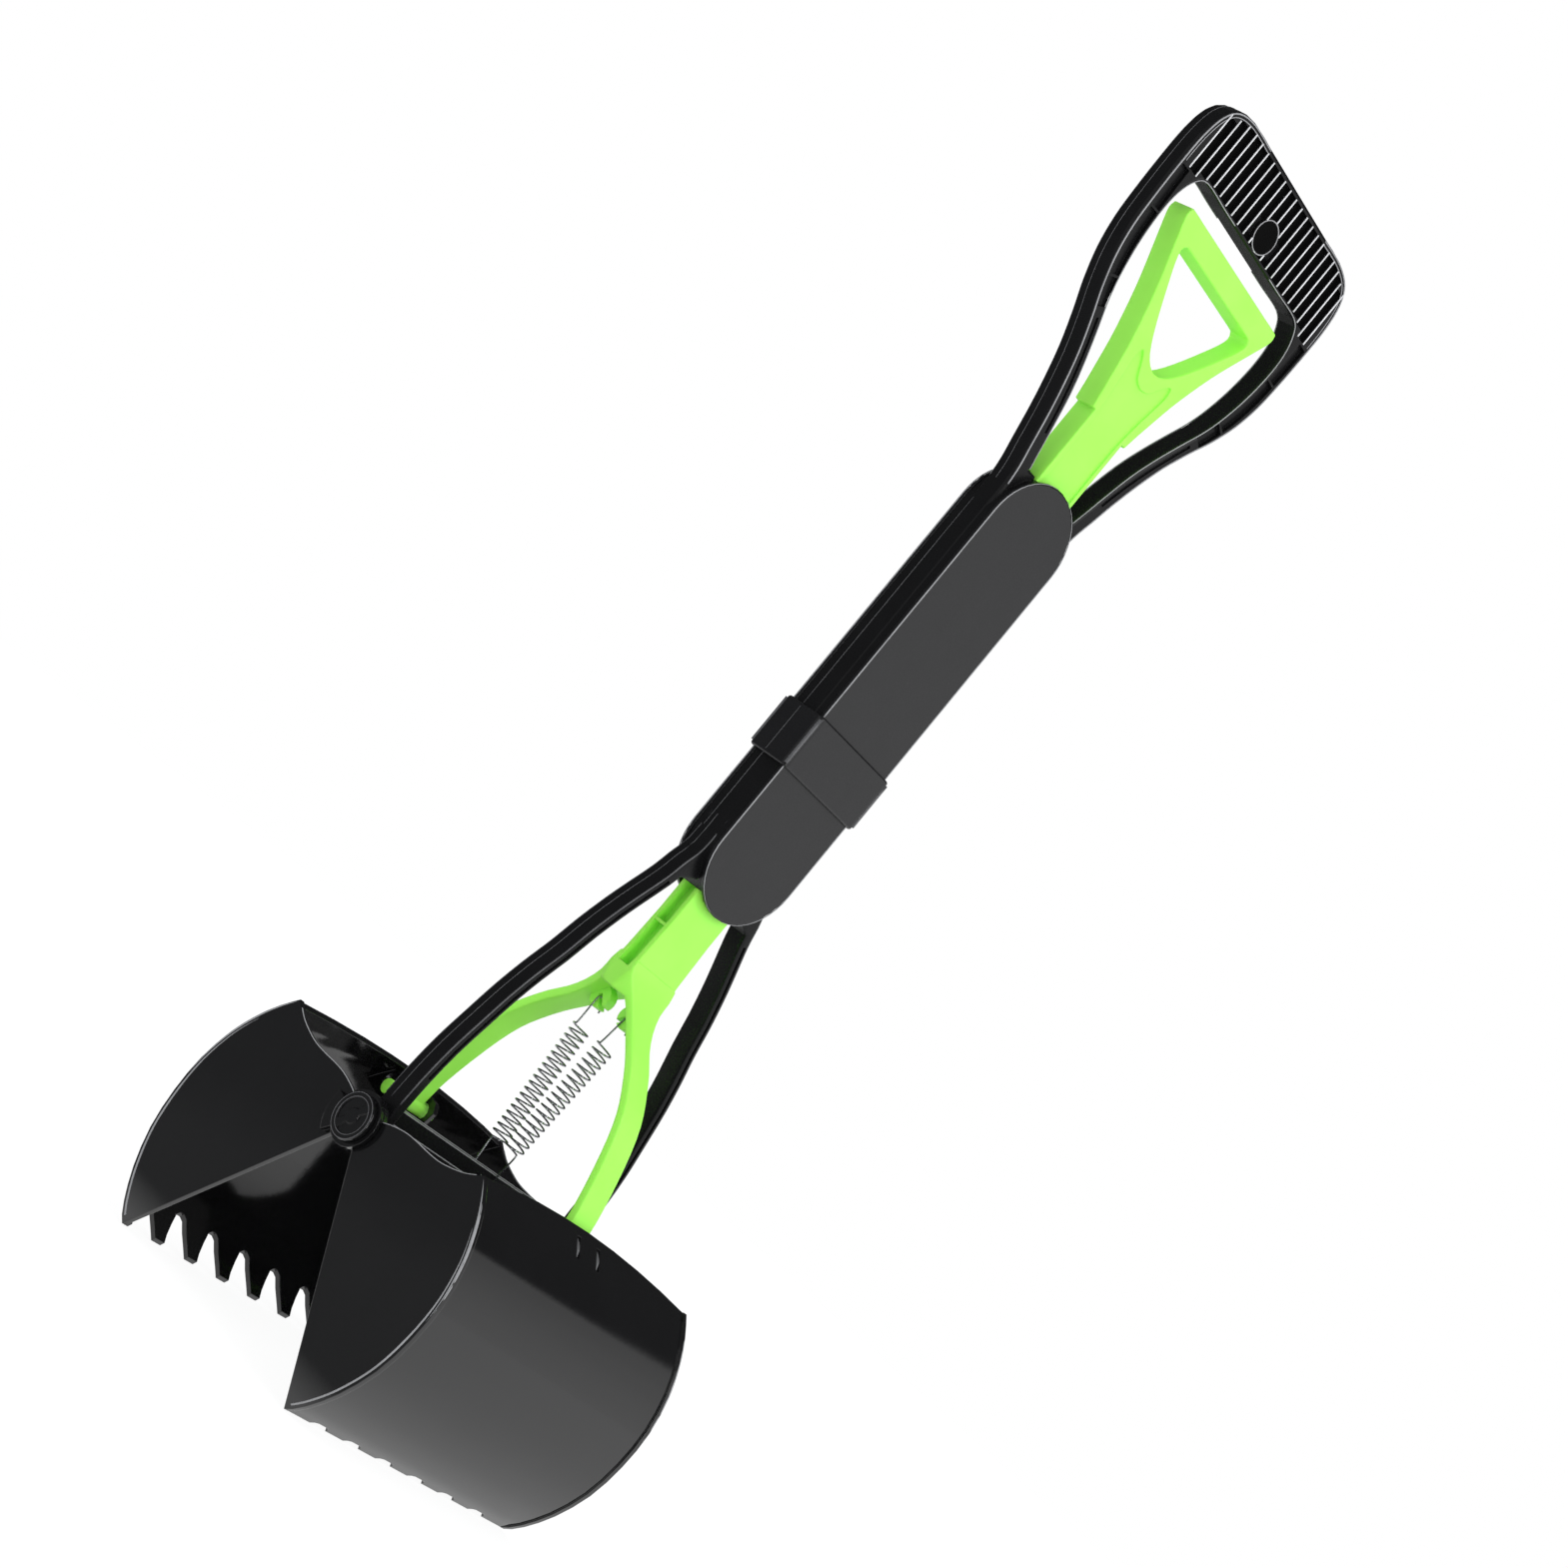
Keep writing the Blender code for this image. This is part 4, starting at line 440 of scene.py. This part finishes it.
def softCopy(node, name, material, width, body, segments=2):
    mesh = nodes[node].data.copy()
    mesh.name = name
    bm = bmesh.new()
    bm.from_mesh(mesh)
    bmesh.ops.remove_doubles(bm, verts=bm.verts, dist=softening["mergeDistance"])
    bmesh.ops.dissolve_limit(bm, angle_limit=softening["flatAngle"], use_dissolve_boundaries=False,
                             verts=bm.verts, edges=bm.edges)
    bm.to_mesh(mesh)
    bm.free()
    mesh.materials.clear()
    mesh.materials.append(material)
    piece = bpy.data.objects.new(name, mesh)
    scene.collection.objects.link(piece)
    mesh.shade_smooth()
    bevel = piece.modifiers.new("softEdges", "BEVEL")
    bevel.width = width
    bevel.segments = segments
    bevel.limit_method = "ANGLE"
    bevel.angle_limit = softening["sharpAngle"]
    bevel.miter_outer = "MITER_ARC"
    bevel.use_clamp_overlap = True
    evened = piece.modifiers.new("evenShading", "WEIGHTED_NORMAL")
    evened.weight = softening["shadingWeight"]
    evened.keep_sharp = True
    made = bpy.data.meshes.new_from_object(piece.evaluated_get(bpy.context.evaluated_depsgraph_get()))
    piece.modifiers.clear()
    piece.data = made
    made.name = name
    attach(piece, body)
    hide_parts(node)
    return piece


def curvedShellNormals(piece, turned):  # shades the flat facets of the shell as the true curve
    mesh = piece.data
    toShut = toShutJaw(turned)
    spin = toShut.to_3x3()
    back = spin.inverted()
    normals = [n.vector.copy() for n in mesh.corner_normals]
    for face in mesh.polygons:
        n = spin @ face.normal
        if abs(n.y) > jaws["endFaceTilt"]:
            continue
        centre = toShut @ face.center
        nearest = nearestScoop(centre.x, centre.z)
        apart = math.hypot(scoop[nearest].x - centre.x, scoop[nearest].y - centre.z)
        outward = scoopNormals[nearest]
        across = outward.x * n.x + outward.y * n.z
        if apart > jaws["shellWalls"] * jaws["wall"] or abs(across) < jaws["shellFacing"]:
            continue
        sign = 1 if across > 0 else -1
        for loop in face.loop_indices:
            p = toShut @ mesh.vertices[mesh.loops[loop].vertex_index].co
            k = nearestScoop(p.x, p.z)
            normals[loop] = (back @ Vector((scoopNormals[k].x * sign, 0, scoopNormals[k].y * sign))).normalized()
    mesh.normals_split_custom_set([tuple(v) for v in normals])


for side, turned in (("right", False), ("left", True)):
    shell = softCopy(side + "_jaw", side + "Jaw", glossAbs, jaws["edgeSoftness"], side + "_jaw")
    curvedShellNormals(shell, turned)
print("jaws dressed")

# the frame's arms, legs and rails take the shaded black copy: painted shade
softCopy("lower_frame", "lowerFrame", armShadePolypropylene, softening["frameEdge"], "frame")
for height in ("upper", "lower"):
    for face in ("front", "rear"):
        softCopy(f"{height}_{face}_cover", height + face.title() + "Cover", satinPolypropylene,
                 softening["coverEdge"], "frame")
softCopy("lock_collar", "lockCollar", satinPolypropylene, softening["collarEdge"], "lock_collar",
         segments=1)
softCopy("pull_trigger", "pullTrigger", limePolypropylene, softening["greenEdge"], "pull")
softCopy("jaw_fork", "jawFork", limePolypropylene, softening["greenEdge"], "pull")
for side in ("front", "rear"):
    softCopy(side + "_hinge_pin", side + "HingePin", glossAbs, softening["pinEdge"], "frame")
print("mouldings dressed")

# the upper frame keeps its CAD mesh and takes the shaded black copy (painted shade); the other hidden nodes take zinc
for name, node in nodes.items():
    node.data.materials.clear()
    node.data.materials.append(armShadePolypropylene if name == "upper_frame" else zincPlate)

# tension springs: places are measured from the hinge axis

springs = {
    "wireRadius": 0.4 * mm, "coilRadius": 4.2 * mm, "turns": 19,
    "lowX": 5.3 * mm, "highX": 8.8 * mm, "coilLowZ": 25 * mm, "coilHighZ": 83 * mm,
    "barHalfDepth": 3.0 * mm, "barHeight": 6.5 * mm, "barTop": 13.0 * mm, "barWrap": 0.7,
    "hookX": 10 * mm, "hookZ": 98 * mm, "hookRadius": 5.5 * mm, "hookHalfWidth": 2.4 * mm,
    "hookSlot": {1: 225, -1: -45},  # degrees, where the slot in each hook opens
    "hookSeat": 0.5, "hookDip": 3, "hookTail": 2,  # in wire radii
    "wireGap": 0.45 * mm, "pointsPerTurn": 24, "around": 10,
    "shortened": 0.57,  # share of its length left when the jaws are shut
}


def rounded(points, rounds=2):  # cuts every corner at a quarter of its sides
    for _ in range(rounds):
        cut = [points[0]]
        for a, b in zip(points[:-1], points[1:]):
            cut += [a.lerp(b, 0.25), a.lerp(b, 0.75)]
        points = cut + [points[-1]]
    return points


def springRoute(side):
    wire, gap = springs["wireRadius"], springs["wireGap"]
    foot = Vector((side * springs["lowX"], 0, springs["coilLowZ"]))
    head = Vector((side * springs["highX"], 0, springs["coilHighZ"]))
    axis = (head - foot).normalized()
    aside = Vector((axis.z, 0, -axis.x))
    behind = Vector((0, 1, 0))

    # lower loop, round the spring bar
    barSide = side * (springs["barHalfDepth"] + wire + gap)
    barLow = springs["barTop"] - springs["barHeight"] - wire - gap
    laneY = side * springs["coilRadius"]
    under = springs["barTop"] - springs["barHeight"] / 2
    lower = [(-barSide, under + gap), (-barSide, barLow + wire), (-barSide * springs["barWrap"], barLow),
             (barSide * springs["barWrap"], barLow), (barSide, barLow + wire), (barSide, springs["barTop"])]
    lower = [Vector((x, laneY, z)) for x, z in lower]

    turns = springs["turns"] - (side + 1) / 4  # the right spring has half a turn less
    steps = round(turns * springs["pointsPerTurn"])
    coil = []
    for i in range(steps + 1):
        turn = side * math.pi / 2 + 2 * math.pi * turns * i / steps
        ring = (aside * math.cos(turn) + behind * math.sin(turn)) * springs["coilRadius"]
        coil.append(foot + (head - foot) * (i / steps) + ring)

    # upper loop, over the fork's hook
    slotTurn = math.radians(springs["hookSlot"][side])
    seat = Vector((math.cos(slotTurn), 0, math.sin(slotTurn))) * (wire * springs["hookSeat"])
    inner = Vector((side * springs["hookX"], 0, springs["hookZ"])) + seat
    front = springs["hookHalfWidth"] + wire + gap
    dip = inner.z - wire * springs["hookDip"]
    tail = inner.z - springs["hookRadius"] - wire * springs["hookTail"]
    upper = [(-front, dip), (-front + wire, inner.z), (front - wire, inner.z), (front, dip), (front, tail)]
    upper = [Vector((inner.x, y, z)) for y, z in upper]
    return rounded(lower + coil[:3])[:-2] + coil[2:-3] + rounded(coil[-3:] + upper)


def wireTube(name, route, radius, around, material, body):
    points, faces = [], []
    radii = radius if isinstance(radius, list) else [radius] * len(route)
    normal = None
    for i, point in enumerate(route):
        along = (route[min(i + 1, len(route) - 1)] - route[max(i - 1, 0)]).normalized()
        normal = along.orthogonal() if normal is None else normal - along * normal.dot(along)
        normal = normal.normalized()
        other = along.cross(normal)
        for k in range(around):
            turn = 2 * math.pi * k / around
            points.append(point + (normal * math.cos(turn) + other * math.sin(turn)) * radii[i])
    for i in range(len(route) - 1):
        for k in range(around):
            j = (k + 1) % around
            faces.append((i * around + k, i * around + j, (i + 1) * around + j, (i + 1) * around + k))
    faces.append(tuple(range(around))[::-1])
    faces.append(tuple(range((len(route) - 1) * around, len(route) * around)))
    return newPiece(name, points, faces, material, body)


for name, side in (("left", -1), ("right", 1)):
    route = [hinge + p for p in springRoute(side)]
    spring = wireTube(name + "Spring", route, springs["wireRadius"], springs["around"], springSteel, "frame")
    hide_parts(name + "_spring")
    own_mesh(spring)
print("springs wound")

# raised rims, mould seams and edges: thin beads sunk into the mouldings, coloured pale as painted glints

rims = {
    "around": 6,
    "jawRim": 0.62 * mm, "jawRimPlace": 74.65 * mm, "jawRimOut": 0.2 * mm, "jawRimEnd": 0.66,
    "rimThin": 0.2, "rimLead": 0.2,  # the rim's bead is thickest in the middle
    "jawLip": 0.5 * mm, "jawLipPlace": 74.9 * mm, "jawLipIn": 1.15 * mm, "jawLipStart": 0.22,
    "jawLipClear": 3.0 * mm,  # the lips' beads stop this far from where the shut jaws meet
    "lipThin": 0.25, "lipGrow": 0.45,  # and the lip's grows from its upper end
    "waveBead": 0.3 * mm, "wavePlace": 74.75 * mm, "waveSteps": 4,
    "wavePoints": [  # the end wall's wavy upper edge, as shares of bulge and reach
        (0.17, -0.012), (0.25, -0.026), (0.355, -0.052), (0.45, -0.086), (0.535, -0.121),
        (0.635, -0.158), (0.735, -0.184), (0.835, -0.203), (0.92, -0.211),
    ],
}


def bead(name, route, radius, material, body="frame"):
    return wireTube(name, [Vector(p) for p in route], radius, rims["around"], material, body)


def offsetRoute(path, distance):
    moved = []
    for i, point in enumerate(path):
        along = (Vector(path[min(i + 1, len(path) - 1)]) - Vector(path[max(i - 1, 0)])).normalized()
        moved.append(Vector((point[0] + along.y * distance, point[1] - along.x * distance)))
    return moved


def alongShell(fromShut, curve, out, y):
    return [fromShut @ Vector((p.x + n.x * out, y, p.y + n.y * out)) for p, n in curve]


shellCurve = list(zip(scoop, scoopNormals))
shellSteps = len(shellCurve) - 1
rimLast = round(rims["jawRimEnd"] * shellSteps)
lipFirst = round(rims["jawLipStart"] * shellSteps)
lipCurve = [(p, n) for p, n in shellCurve[lipFirst:] if p.x > rims["jawLipClear"]]
lead = rims["rimLead"]
rimSpan = (1 + lead) * rimLast
rimSwell = [rims["jawRim"] * max(rims["rimThin"], math.sin(math.pi * (i + lead * rimLast) / rimSpan))
            for i in range(rimLast + 1)]
lipSwell = [rims["jawLip"] * min(1, rims["lipThin"] + i / (rims["lipGrow"] * shellSteps))
            for i in range(len(lipCurve))]
waveCurve = smoothPath([(x * jaws["bulge"], z * jaws["reach"]) for x, z in rims["wavePoints"]], rims["waveSteps"])
# the jaws' rim, lip and wave beads are pale: painted highlights along the edges
for side, turned in (("right", False), ("left", True)):
    fromShut = toShutJaw(turned).inverted()
    for face, word in ends.items():
        rim = alongShell(fromShut, shellCurve[:rimLast + 1], rims["jawRimOut"], face * rims["jawRimPlace"])
        lip = alongShell(fromShut, lipCurve, -rims["jawLipIn"], face * rims["jawLipPlace"])
        wave = [fromShut @ Vector((p.x, face * rims["wavePlace"], p.y)) for p in waveCurve]
        for part, route, radius in (("", rim, rimSwell), ("Inner", lip, lipSwell), ("Wave", wave, rims["waveBead"])):
            name = side + "Jaw" + part + word + "Rim"
            bead(name, route, radius, glintEdgeAbs, side + "_jaw")
print("jaw rims drawn")

# handle: heights are measured from the hinge axis, and a point is its share of the way out and the way up

handle = {
    "caseHalfWidth": 27 * mm, "caseTop": 384 * mm, "caseBottom": 153 * mm,
    "gripTop": 549.5 * mm, "gripHalfWidth": 69.5 * mm, "gripDepth": 33 * mm,
    "openingHalfWidth": 58.5 * mm, "channelHalfWidth": 14.6 * mm,
    "legBow": 41.7 * mm, "armHalfDepth": 5.75 * mm, "legHalfDepth": 5.85 * mm,
    "ridge": 0.36 * mm, "ridgeInset": 0.58 * mm, "ridgeIn": 1.15 * mm, "ridgeSink": 0.1 * mm,
    "seam": 0.17 * mm, "seamX": -1.1 * mm, "innerLine": 0.26 * mm, "innerIn": 0.3 * mm, "pathSteps": 4,
    "armPoints": [
        (0.0, -0.09), (0.03, -0.04), (0.095, 0.02), (0.18, 0.10), (0.28, 0.178), (0.41, 0.262), (0.58, 0.345),
        (0.735, 0.412), (0.875, 0.492), (0.955, 0.575), (0.985, 0.66), (1.0, 0.76), (0.995, 0.86), (0.93, 0.935),
        (0.78, 0.98), (0.5, 1.0), (0.1, 1.0),
    ],
    "innerPoints": [
        (0.14, -0.025), (0.19, 0.03), (0.275, 0.13), (0.375, 0.235), (0.505, 0.335), (0.65, 0.43), (0.79, 0.518),
        (0.885, 0.6), (0.96, 0.7), (1.0, 0.81), (0.985, 0.9), (0.9, 0.968), (0.75, 1.0), (0.35, 1.0), (0.1, 1.0),
    ],
    "legPoints": [
        (0.0, 1.22), (0.007, 1.124), (0.084, 1.059), (0.151, 1.0), (0.283, 0.915), (0.379, 0.85), (0.487, 0.765),
        (0.583, 0.673), (0.691, 0.588), (0.787, 0.497), (0.871, 0.392), (0.942, 0.294), (0.983, 0.196), (1.0, 0.098),
    ],
}


def sharedPath(points, width, spread, base, rise):
    return smoothPath([(width + spread * y, base + rise * z) for y, z in points], handle["pathSteps"])


armRise = handle["gripTop"] - handle["caseTop"]
armPath = sharedPath(handle["armPoints"], handle["caseHalfWidth"], handle["gripHalfWidth"] - handle["caseHalfWidth"],
                     handle["caseTop"], armRise)
innerPath = sharedPath(handle["innerPoints"], handle["channelHalfWidth"],
                       handle["openingHalfWidth"] - handle["channelHalfWidth"],
                       handle["caseTop"], armRise - handle["gripDepth"])
legPath = sharedPath(handle["legPoints"], handle["caseHalfWidth"], handle["legBow"], 0, handle["caseBottom"])


def bothSides(name, path, x, radius, material):
    for side, word in ends.items():
        bead(name + word, [hinge + Vector((x, side * p.x, p.y)) for p in path], radius, material)


faceX = handle["armHalfDepth"]
# pale beads along the arm and leg ridges and the inner edges are painted highlights; the seams are real ridges
# painted paler as a highlight
for x, word in sides.items():
    bothSides("armRidge" + word, offsetRoute(armPath, -handle["ridgeIn"]), x * (faceX - handle["ridgeSink"]),
              handle["ridge"], glintEdgeAbs)
    bothSides("armInner" + word, offsetRoute(innerPath, handle["innerIn"]), x * (faceX - handle["innerIn"]),
              handle["innerLine"], glintEdgeAbs)
    bothSides("legRidge" + word, offsetRoute(legPath, handle["ridgeInset"]),
              x * (handle["legHalfDepth"] - handle["ridgeInset"]), handle["ridge"], seamAndGlintPolypropylene)
bothSides("armSeam", armPath, handle["seamX"], handle["seam"], seamAndGlintPolypropylene)
bothSides("legSeam", legPath, handle["seamX"], handle["seam"], seamAndGlintPolypropylene)
print("handle seams drawn")

# grip: painted glints on the fin crests and round the boss, and painted shade on the pocket floors and the boss's
# face

grip = {
    "finPitch": 6.3 * mm, "finCount": 10, "finThickness": 1.0 * mm, "finSteps": 3, "crest": 0.42 * mm,
    "rim": 2.6 * mm, "footRim": 1.2 * mm, "pocketDepth": 2.0 * mm,
    "leastPocket": 3,  # a pocket lower than one part in three of the pitch gets no floor
    "bossRadius": 8.0 * mm, "bossHeight": 525.41 * mm, "ringRadius": 7.7 * mm, "ring": 0.3 * mm,
    "discRadius": 7.5 * mm, "rimLine": 0.24 * mm, "rimLineIn": 2.7 * mm,
    "lastTie": 513.64 * mm,  # top of the highest cross tie, where the fins beside the opening start
    "floorLift": 0.06 * mm,
}


def heightAt(path, y):
    found = [0]
    for a, b in zip(path[:-1], path[1:]):
        if a.x != b.x and min(a.x, b.x) <= y <= max(a.x, b.x):
            found.append(a.y + (b.y - a.y) * (y - a.x) / (b.x - a.x))
    return max(found)


gripOuter = armPath + [Vector((0, handle["gripTop"]))]
gripInner = innerPath + [Vector((0, handle["gripTop"] - handle["gripDepth"]))]


def finReach(near, far):
    top = heightAt(gripOuter, far) - grip["rim"]
    foot = max(heightAt(gripInner, near), heightAt(gripInner, far)) + grip["footRim"]
    if far > handle["openingHalfWidth"] - grip["rim"]:
        foot = max(foot, grip["lastTie"])
    return foot, top


def roundTheBoss(y, foot, top):
    if y >= grip["bossRadius"]:
        return [(foot, top)]
    gap = math.sqrt(grip["bossRadius"] ** 2 - y * y)
    return [(foot, grip["bossHeight"] - gap), (grip["bossHeight"] + gap, top)]


for x, word in sides.items():
    for k in range(-grip["finCount"], grip["finCount"] + 1):
        y = k * grip["finPitch"]
        outwards = 1 if abs(k) < grip["finCount"] else -1
        edge = abs(y) + (grip["finPitch"] - grip["finThickness"]) / 2 * outwards
        foot, top = finReach(abs(y), max(edge, abs(y) - grip["finThickness"]))
        for n, (low, high) in enumerate(roundTheBoss(abs(y), foot, top)):
            route = [hinge + Vector((x * faceX, y, z)) for z in evenSteps(low, high, grip["finSteps"])]
            bead("fin" + word + str(k + grip["finCount"]) + "ab"[n], route, grip["crest"], crestGlintPolypropylene)
    # painted shade: near-black sheets laid on the pocket floors
    points, faces = [], []
    floorX = x * (faceX - grip["pocketDepth"] + grip["floorLift"])
    for k in range(-grip["finCount"], grip["finCount"]):
        left = k * grip["finPitch"] + grip["finThickness"] / 2
        right = (k + 1) * grip["finPitch"] - grip["finThickness"] / 2
        near, far = sorted((abs(left), abs(right)))
        foot, top = finReach(near, far)
        for low, high in roundTheBoss(near, foot, top):
            if high - low < grip["finPitch"] / grip["leastPocket"]:
                continue
            corners = ((left, low), (right, low), (right, high), (left, high))
            faces.append(tuple(range(len(points), len(points) + 4))[::x])
            points += [hinge + Vector((floorX, y, z)) for y, z in corners]
    newPiece("gripPocketShade" + word, points, faces, pocketShadePolypropylene, "frame")
    bossZ = grip["bossHeight"]
    ring = [hinge + Vector((x * faceX, y, bossZ + z)) for y, z in circlePoints(grip["ringRadius"])]
    bead("bossRing" + word, ring, grip["ring"], glintEdgeAbs)
    # painted shade: a near-black disc over the boss's face, in place of its reflection
    discX = x * (faceX + grip["floorLift"])
    disc = [hinge + Vector((discX, y, bossZ + z)) for y, z in circlePoints(grip["discRadius"], closed=False)]
    discFace = tuple(range(len(disc)))[::x]
    newPiece("bossShadeDisc" + word, disc, [discFace], pocketShadePolypropylene, "frame")
    rimRoute = [p for p in offsetRoute(armPath, -grip["rimLineIn"]) if p.y > grip["lastTie"]]
    bothSides("gripRimLine" + word, rimRoute, x * (faceX - handle["ridgeSink"]), grip["rimLine"], glintEdgeAbs)
print("grip drawn")

# case: painted glints as pale lines on the edges of the covers and the collar, and the parting lines on their sides,
# painted paler as a highlight

case = {
    "edge": 0.3 * mm, "edgeSink": 0.16 * mm, "thinEnd": 0.3,  # the edge's bead thins out round the cover's end
    "arcSteps": 10, "arcTurn": 80, "lineSteps": 4,
    "seamIn": 0.3 * mm, "seamSink": 0.06 * mm,
    "collarEdge": 0.92 * mm, "collarSink": 0.96 * mm, "collarEnd": 1.6 * mm, "collarSeamX": -1.7 * mm,
}


def nodeBox(name):
    corners = [nodes[name].matrix_world @ Vector(c) for c in nodes[name].bound_box]
    return [Vector([pick(c[i] for c in corners) for i in range(3)]) for pick in (min, max)]


for height, up in (("upper", 1), ("lower", -1)):
    for end, face in (("front", 1), ("rear", -1)):
        name = height.title() + end.title() + "Cover"
        low, high = nodeBox(f"{height}_{end}_cover")
        x = (high.x if face > 0 else low.x) - face * case["edgeSink"]
        halfWidth = (high.y - low.y) / 2
        radius = halfWidth - case["edgeSink"]
        start, centre = (low.z, high.z - halfWidth) if up > 0 else (high.z, low.z + halfWidth)
        straight = evenSteps(start, centre, case["lineSteps"])
        for side, word in ends.items():
            route = [Vector((x, side * radius, z)) for z in straight[:-1]]
            radii = [case["edge"]] * len(route)
            for i in range(case["arcSteps"] + 1):
                turn = math.radians(case["arcTurn"] * i / case["arcSteps"])
                route.append(Vector((x, side * radius * math.cos(turn), centre + up * radius * math.sin(turn))))
                radii.append(case["edge"] * (1 - (1 - case["thinEnd"]) * i / case["arcSteps"]))
            bead(name + "Edge" + word, route, radii, glintEdgeAbs)
            if face > 0:
                y = side * (halfWidth - case["seamSink"])
                seam = [Vector((low.x + case["seamIn"], y, z)) for z in straight]
                bead(name + "Seam" + word, seam, handle["seam"], seamAndGlintPolypropylene)
low, high = nodeBox("lock_collar")
collarHeights = evenSteps(low.z + case["collarEnd"], high.z - case["collarEnd"], case["lineSteps"])
for y, word in ((low.y + case["seamSink"], "Front"), (high.y - case["seamSink"], "Rear")):
    seam = [Vector((case["collarSeamX"], y, z)) for z in collarHeights]
    bead("collarSeam" + word, seam, handle["seam"], seamAndGlintPolypropylene, "lock_collar")
# painted glints: wide pale beads down the collar's corners
for x, side in ((low.x + case["collarSink"], "Left"), (high.x - case["collarSink"], "Right")):
    for y, word in ((low.y + case["collarSink"], "Front"), (high.y - case["collarSink"], "Rear")):
        route = [Vector((x, y, z)) for z in collarHeights]
        bead("collarEdge" + side + word, route, case["collarEdge"], seamAndGlintPolypropylene, "lock_collar")
print("case edges drawn")

# hinge: pale rings on the caps and edges on the spring bar as painted highlights, and the shell's two short marks,
# painted paler as a highlight

joint = {
    "capFace": 80.0 * mm, "capRadius": 10.1 * mm, "recessRadius": 8.3 * mm, "capBead": 0.2 * mm,
    "barHalfDepth": 3.0 * mm, "barTop": 13.0 * mm, "barFoot": 6.5 * mm, "barReach": 64 * mm, "barBead": 0.24 * mm,
    "barSteps": 4,
    "markY": 7.2 * mm, "markFrom": (68.3 * mm, -24.2 * mm), "markTo": (69.7 * mm, -32.0 * mm), "markSteps": 12,
    "markRadius": 1.1 * mm, "markSink": 0.75 * mm, "markThin": 0.25, "markLead": 0.6,
}
for y, word in ends.items():
    for radius, part in ((joint["capRadius"], "Rim"), (joint["recessRadius"], "Recess")):
        ring = [hinge + Vector((x, y * joint["capFace"], z)) for x, z in circlePoints(radius)]
        bead("cap" + part + word, ring, joint["capBead"], seamAndGlintPolypropylene, "frame")
for x, word in sides.items():
    for z, part in ((joint["barTop"], "Top"), (joint["barFoot"], "Foot")):
        barY = [joint["barReach"] * (i / joint["barSteps"] - 1) for i in range(2 * joint["barSteps"] + 1)]
        route = [hinge + Vector((x * joint["barHalfDepth"], y, z)) for y in barY]
        bead("springBar" + part + word, route, joint["barBead"], glintEdgeAbs)
fromShut = toShutJaw(False).inverted()
markX = evenSteps(joint["markFrom"][0], joint["markTo"][0], joint["markSteps"])
markZ = evenSteps(joint["markFrom"][1], joint["markTo"][1], joint["markSteps"])
markSpan = joint["markSteps"] + 2 * joint["markLead"]
markSwell = [joint["markRadius"] * max(joint["markThin"], math.sin(math.pi * (i + joint["markLead"]) / markSpan))
             for i in range(joint["markSteps"] + 1)]
for side, word in ends.items():
    route = [fromShut @ Vector((x - joint["markSink"], side * joint["markY"], z)) for x, z in zip(markX, markZ)]
    bead("shellMark" + word, route, markSwell, seamAndGlintPolypropylene, "right_jaw")
print("hinge trim drawn")
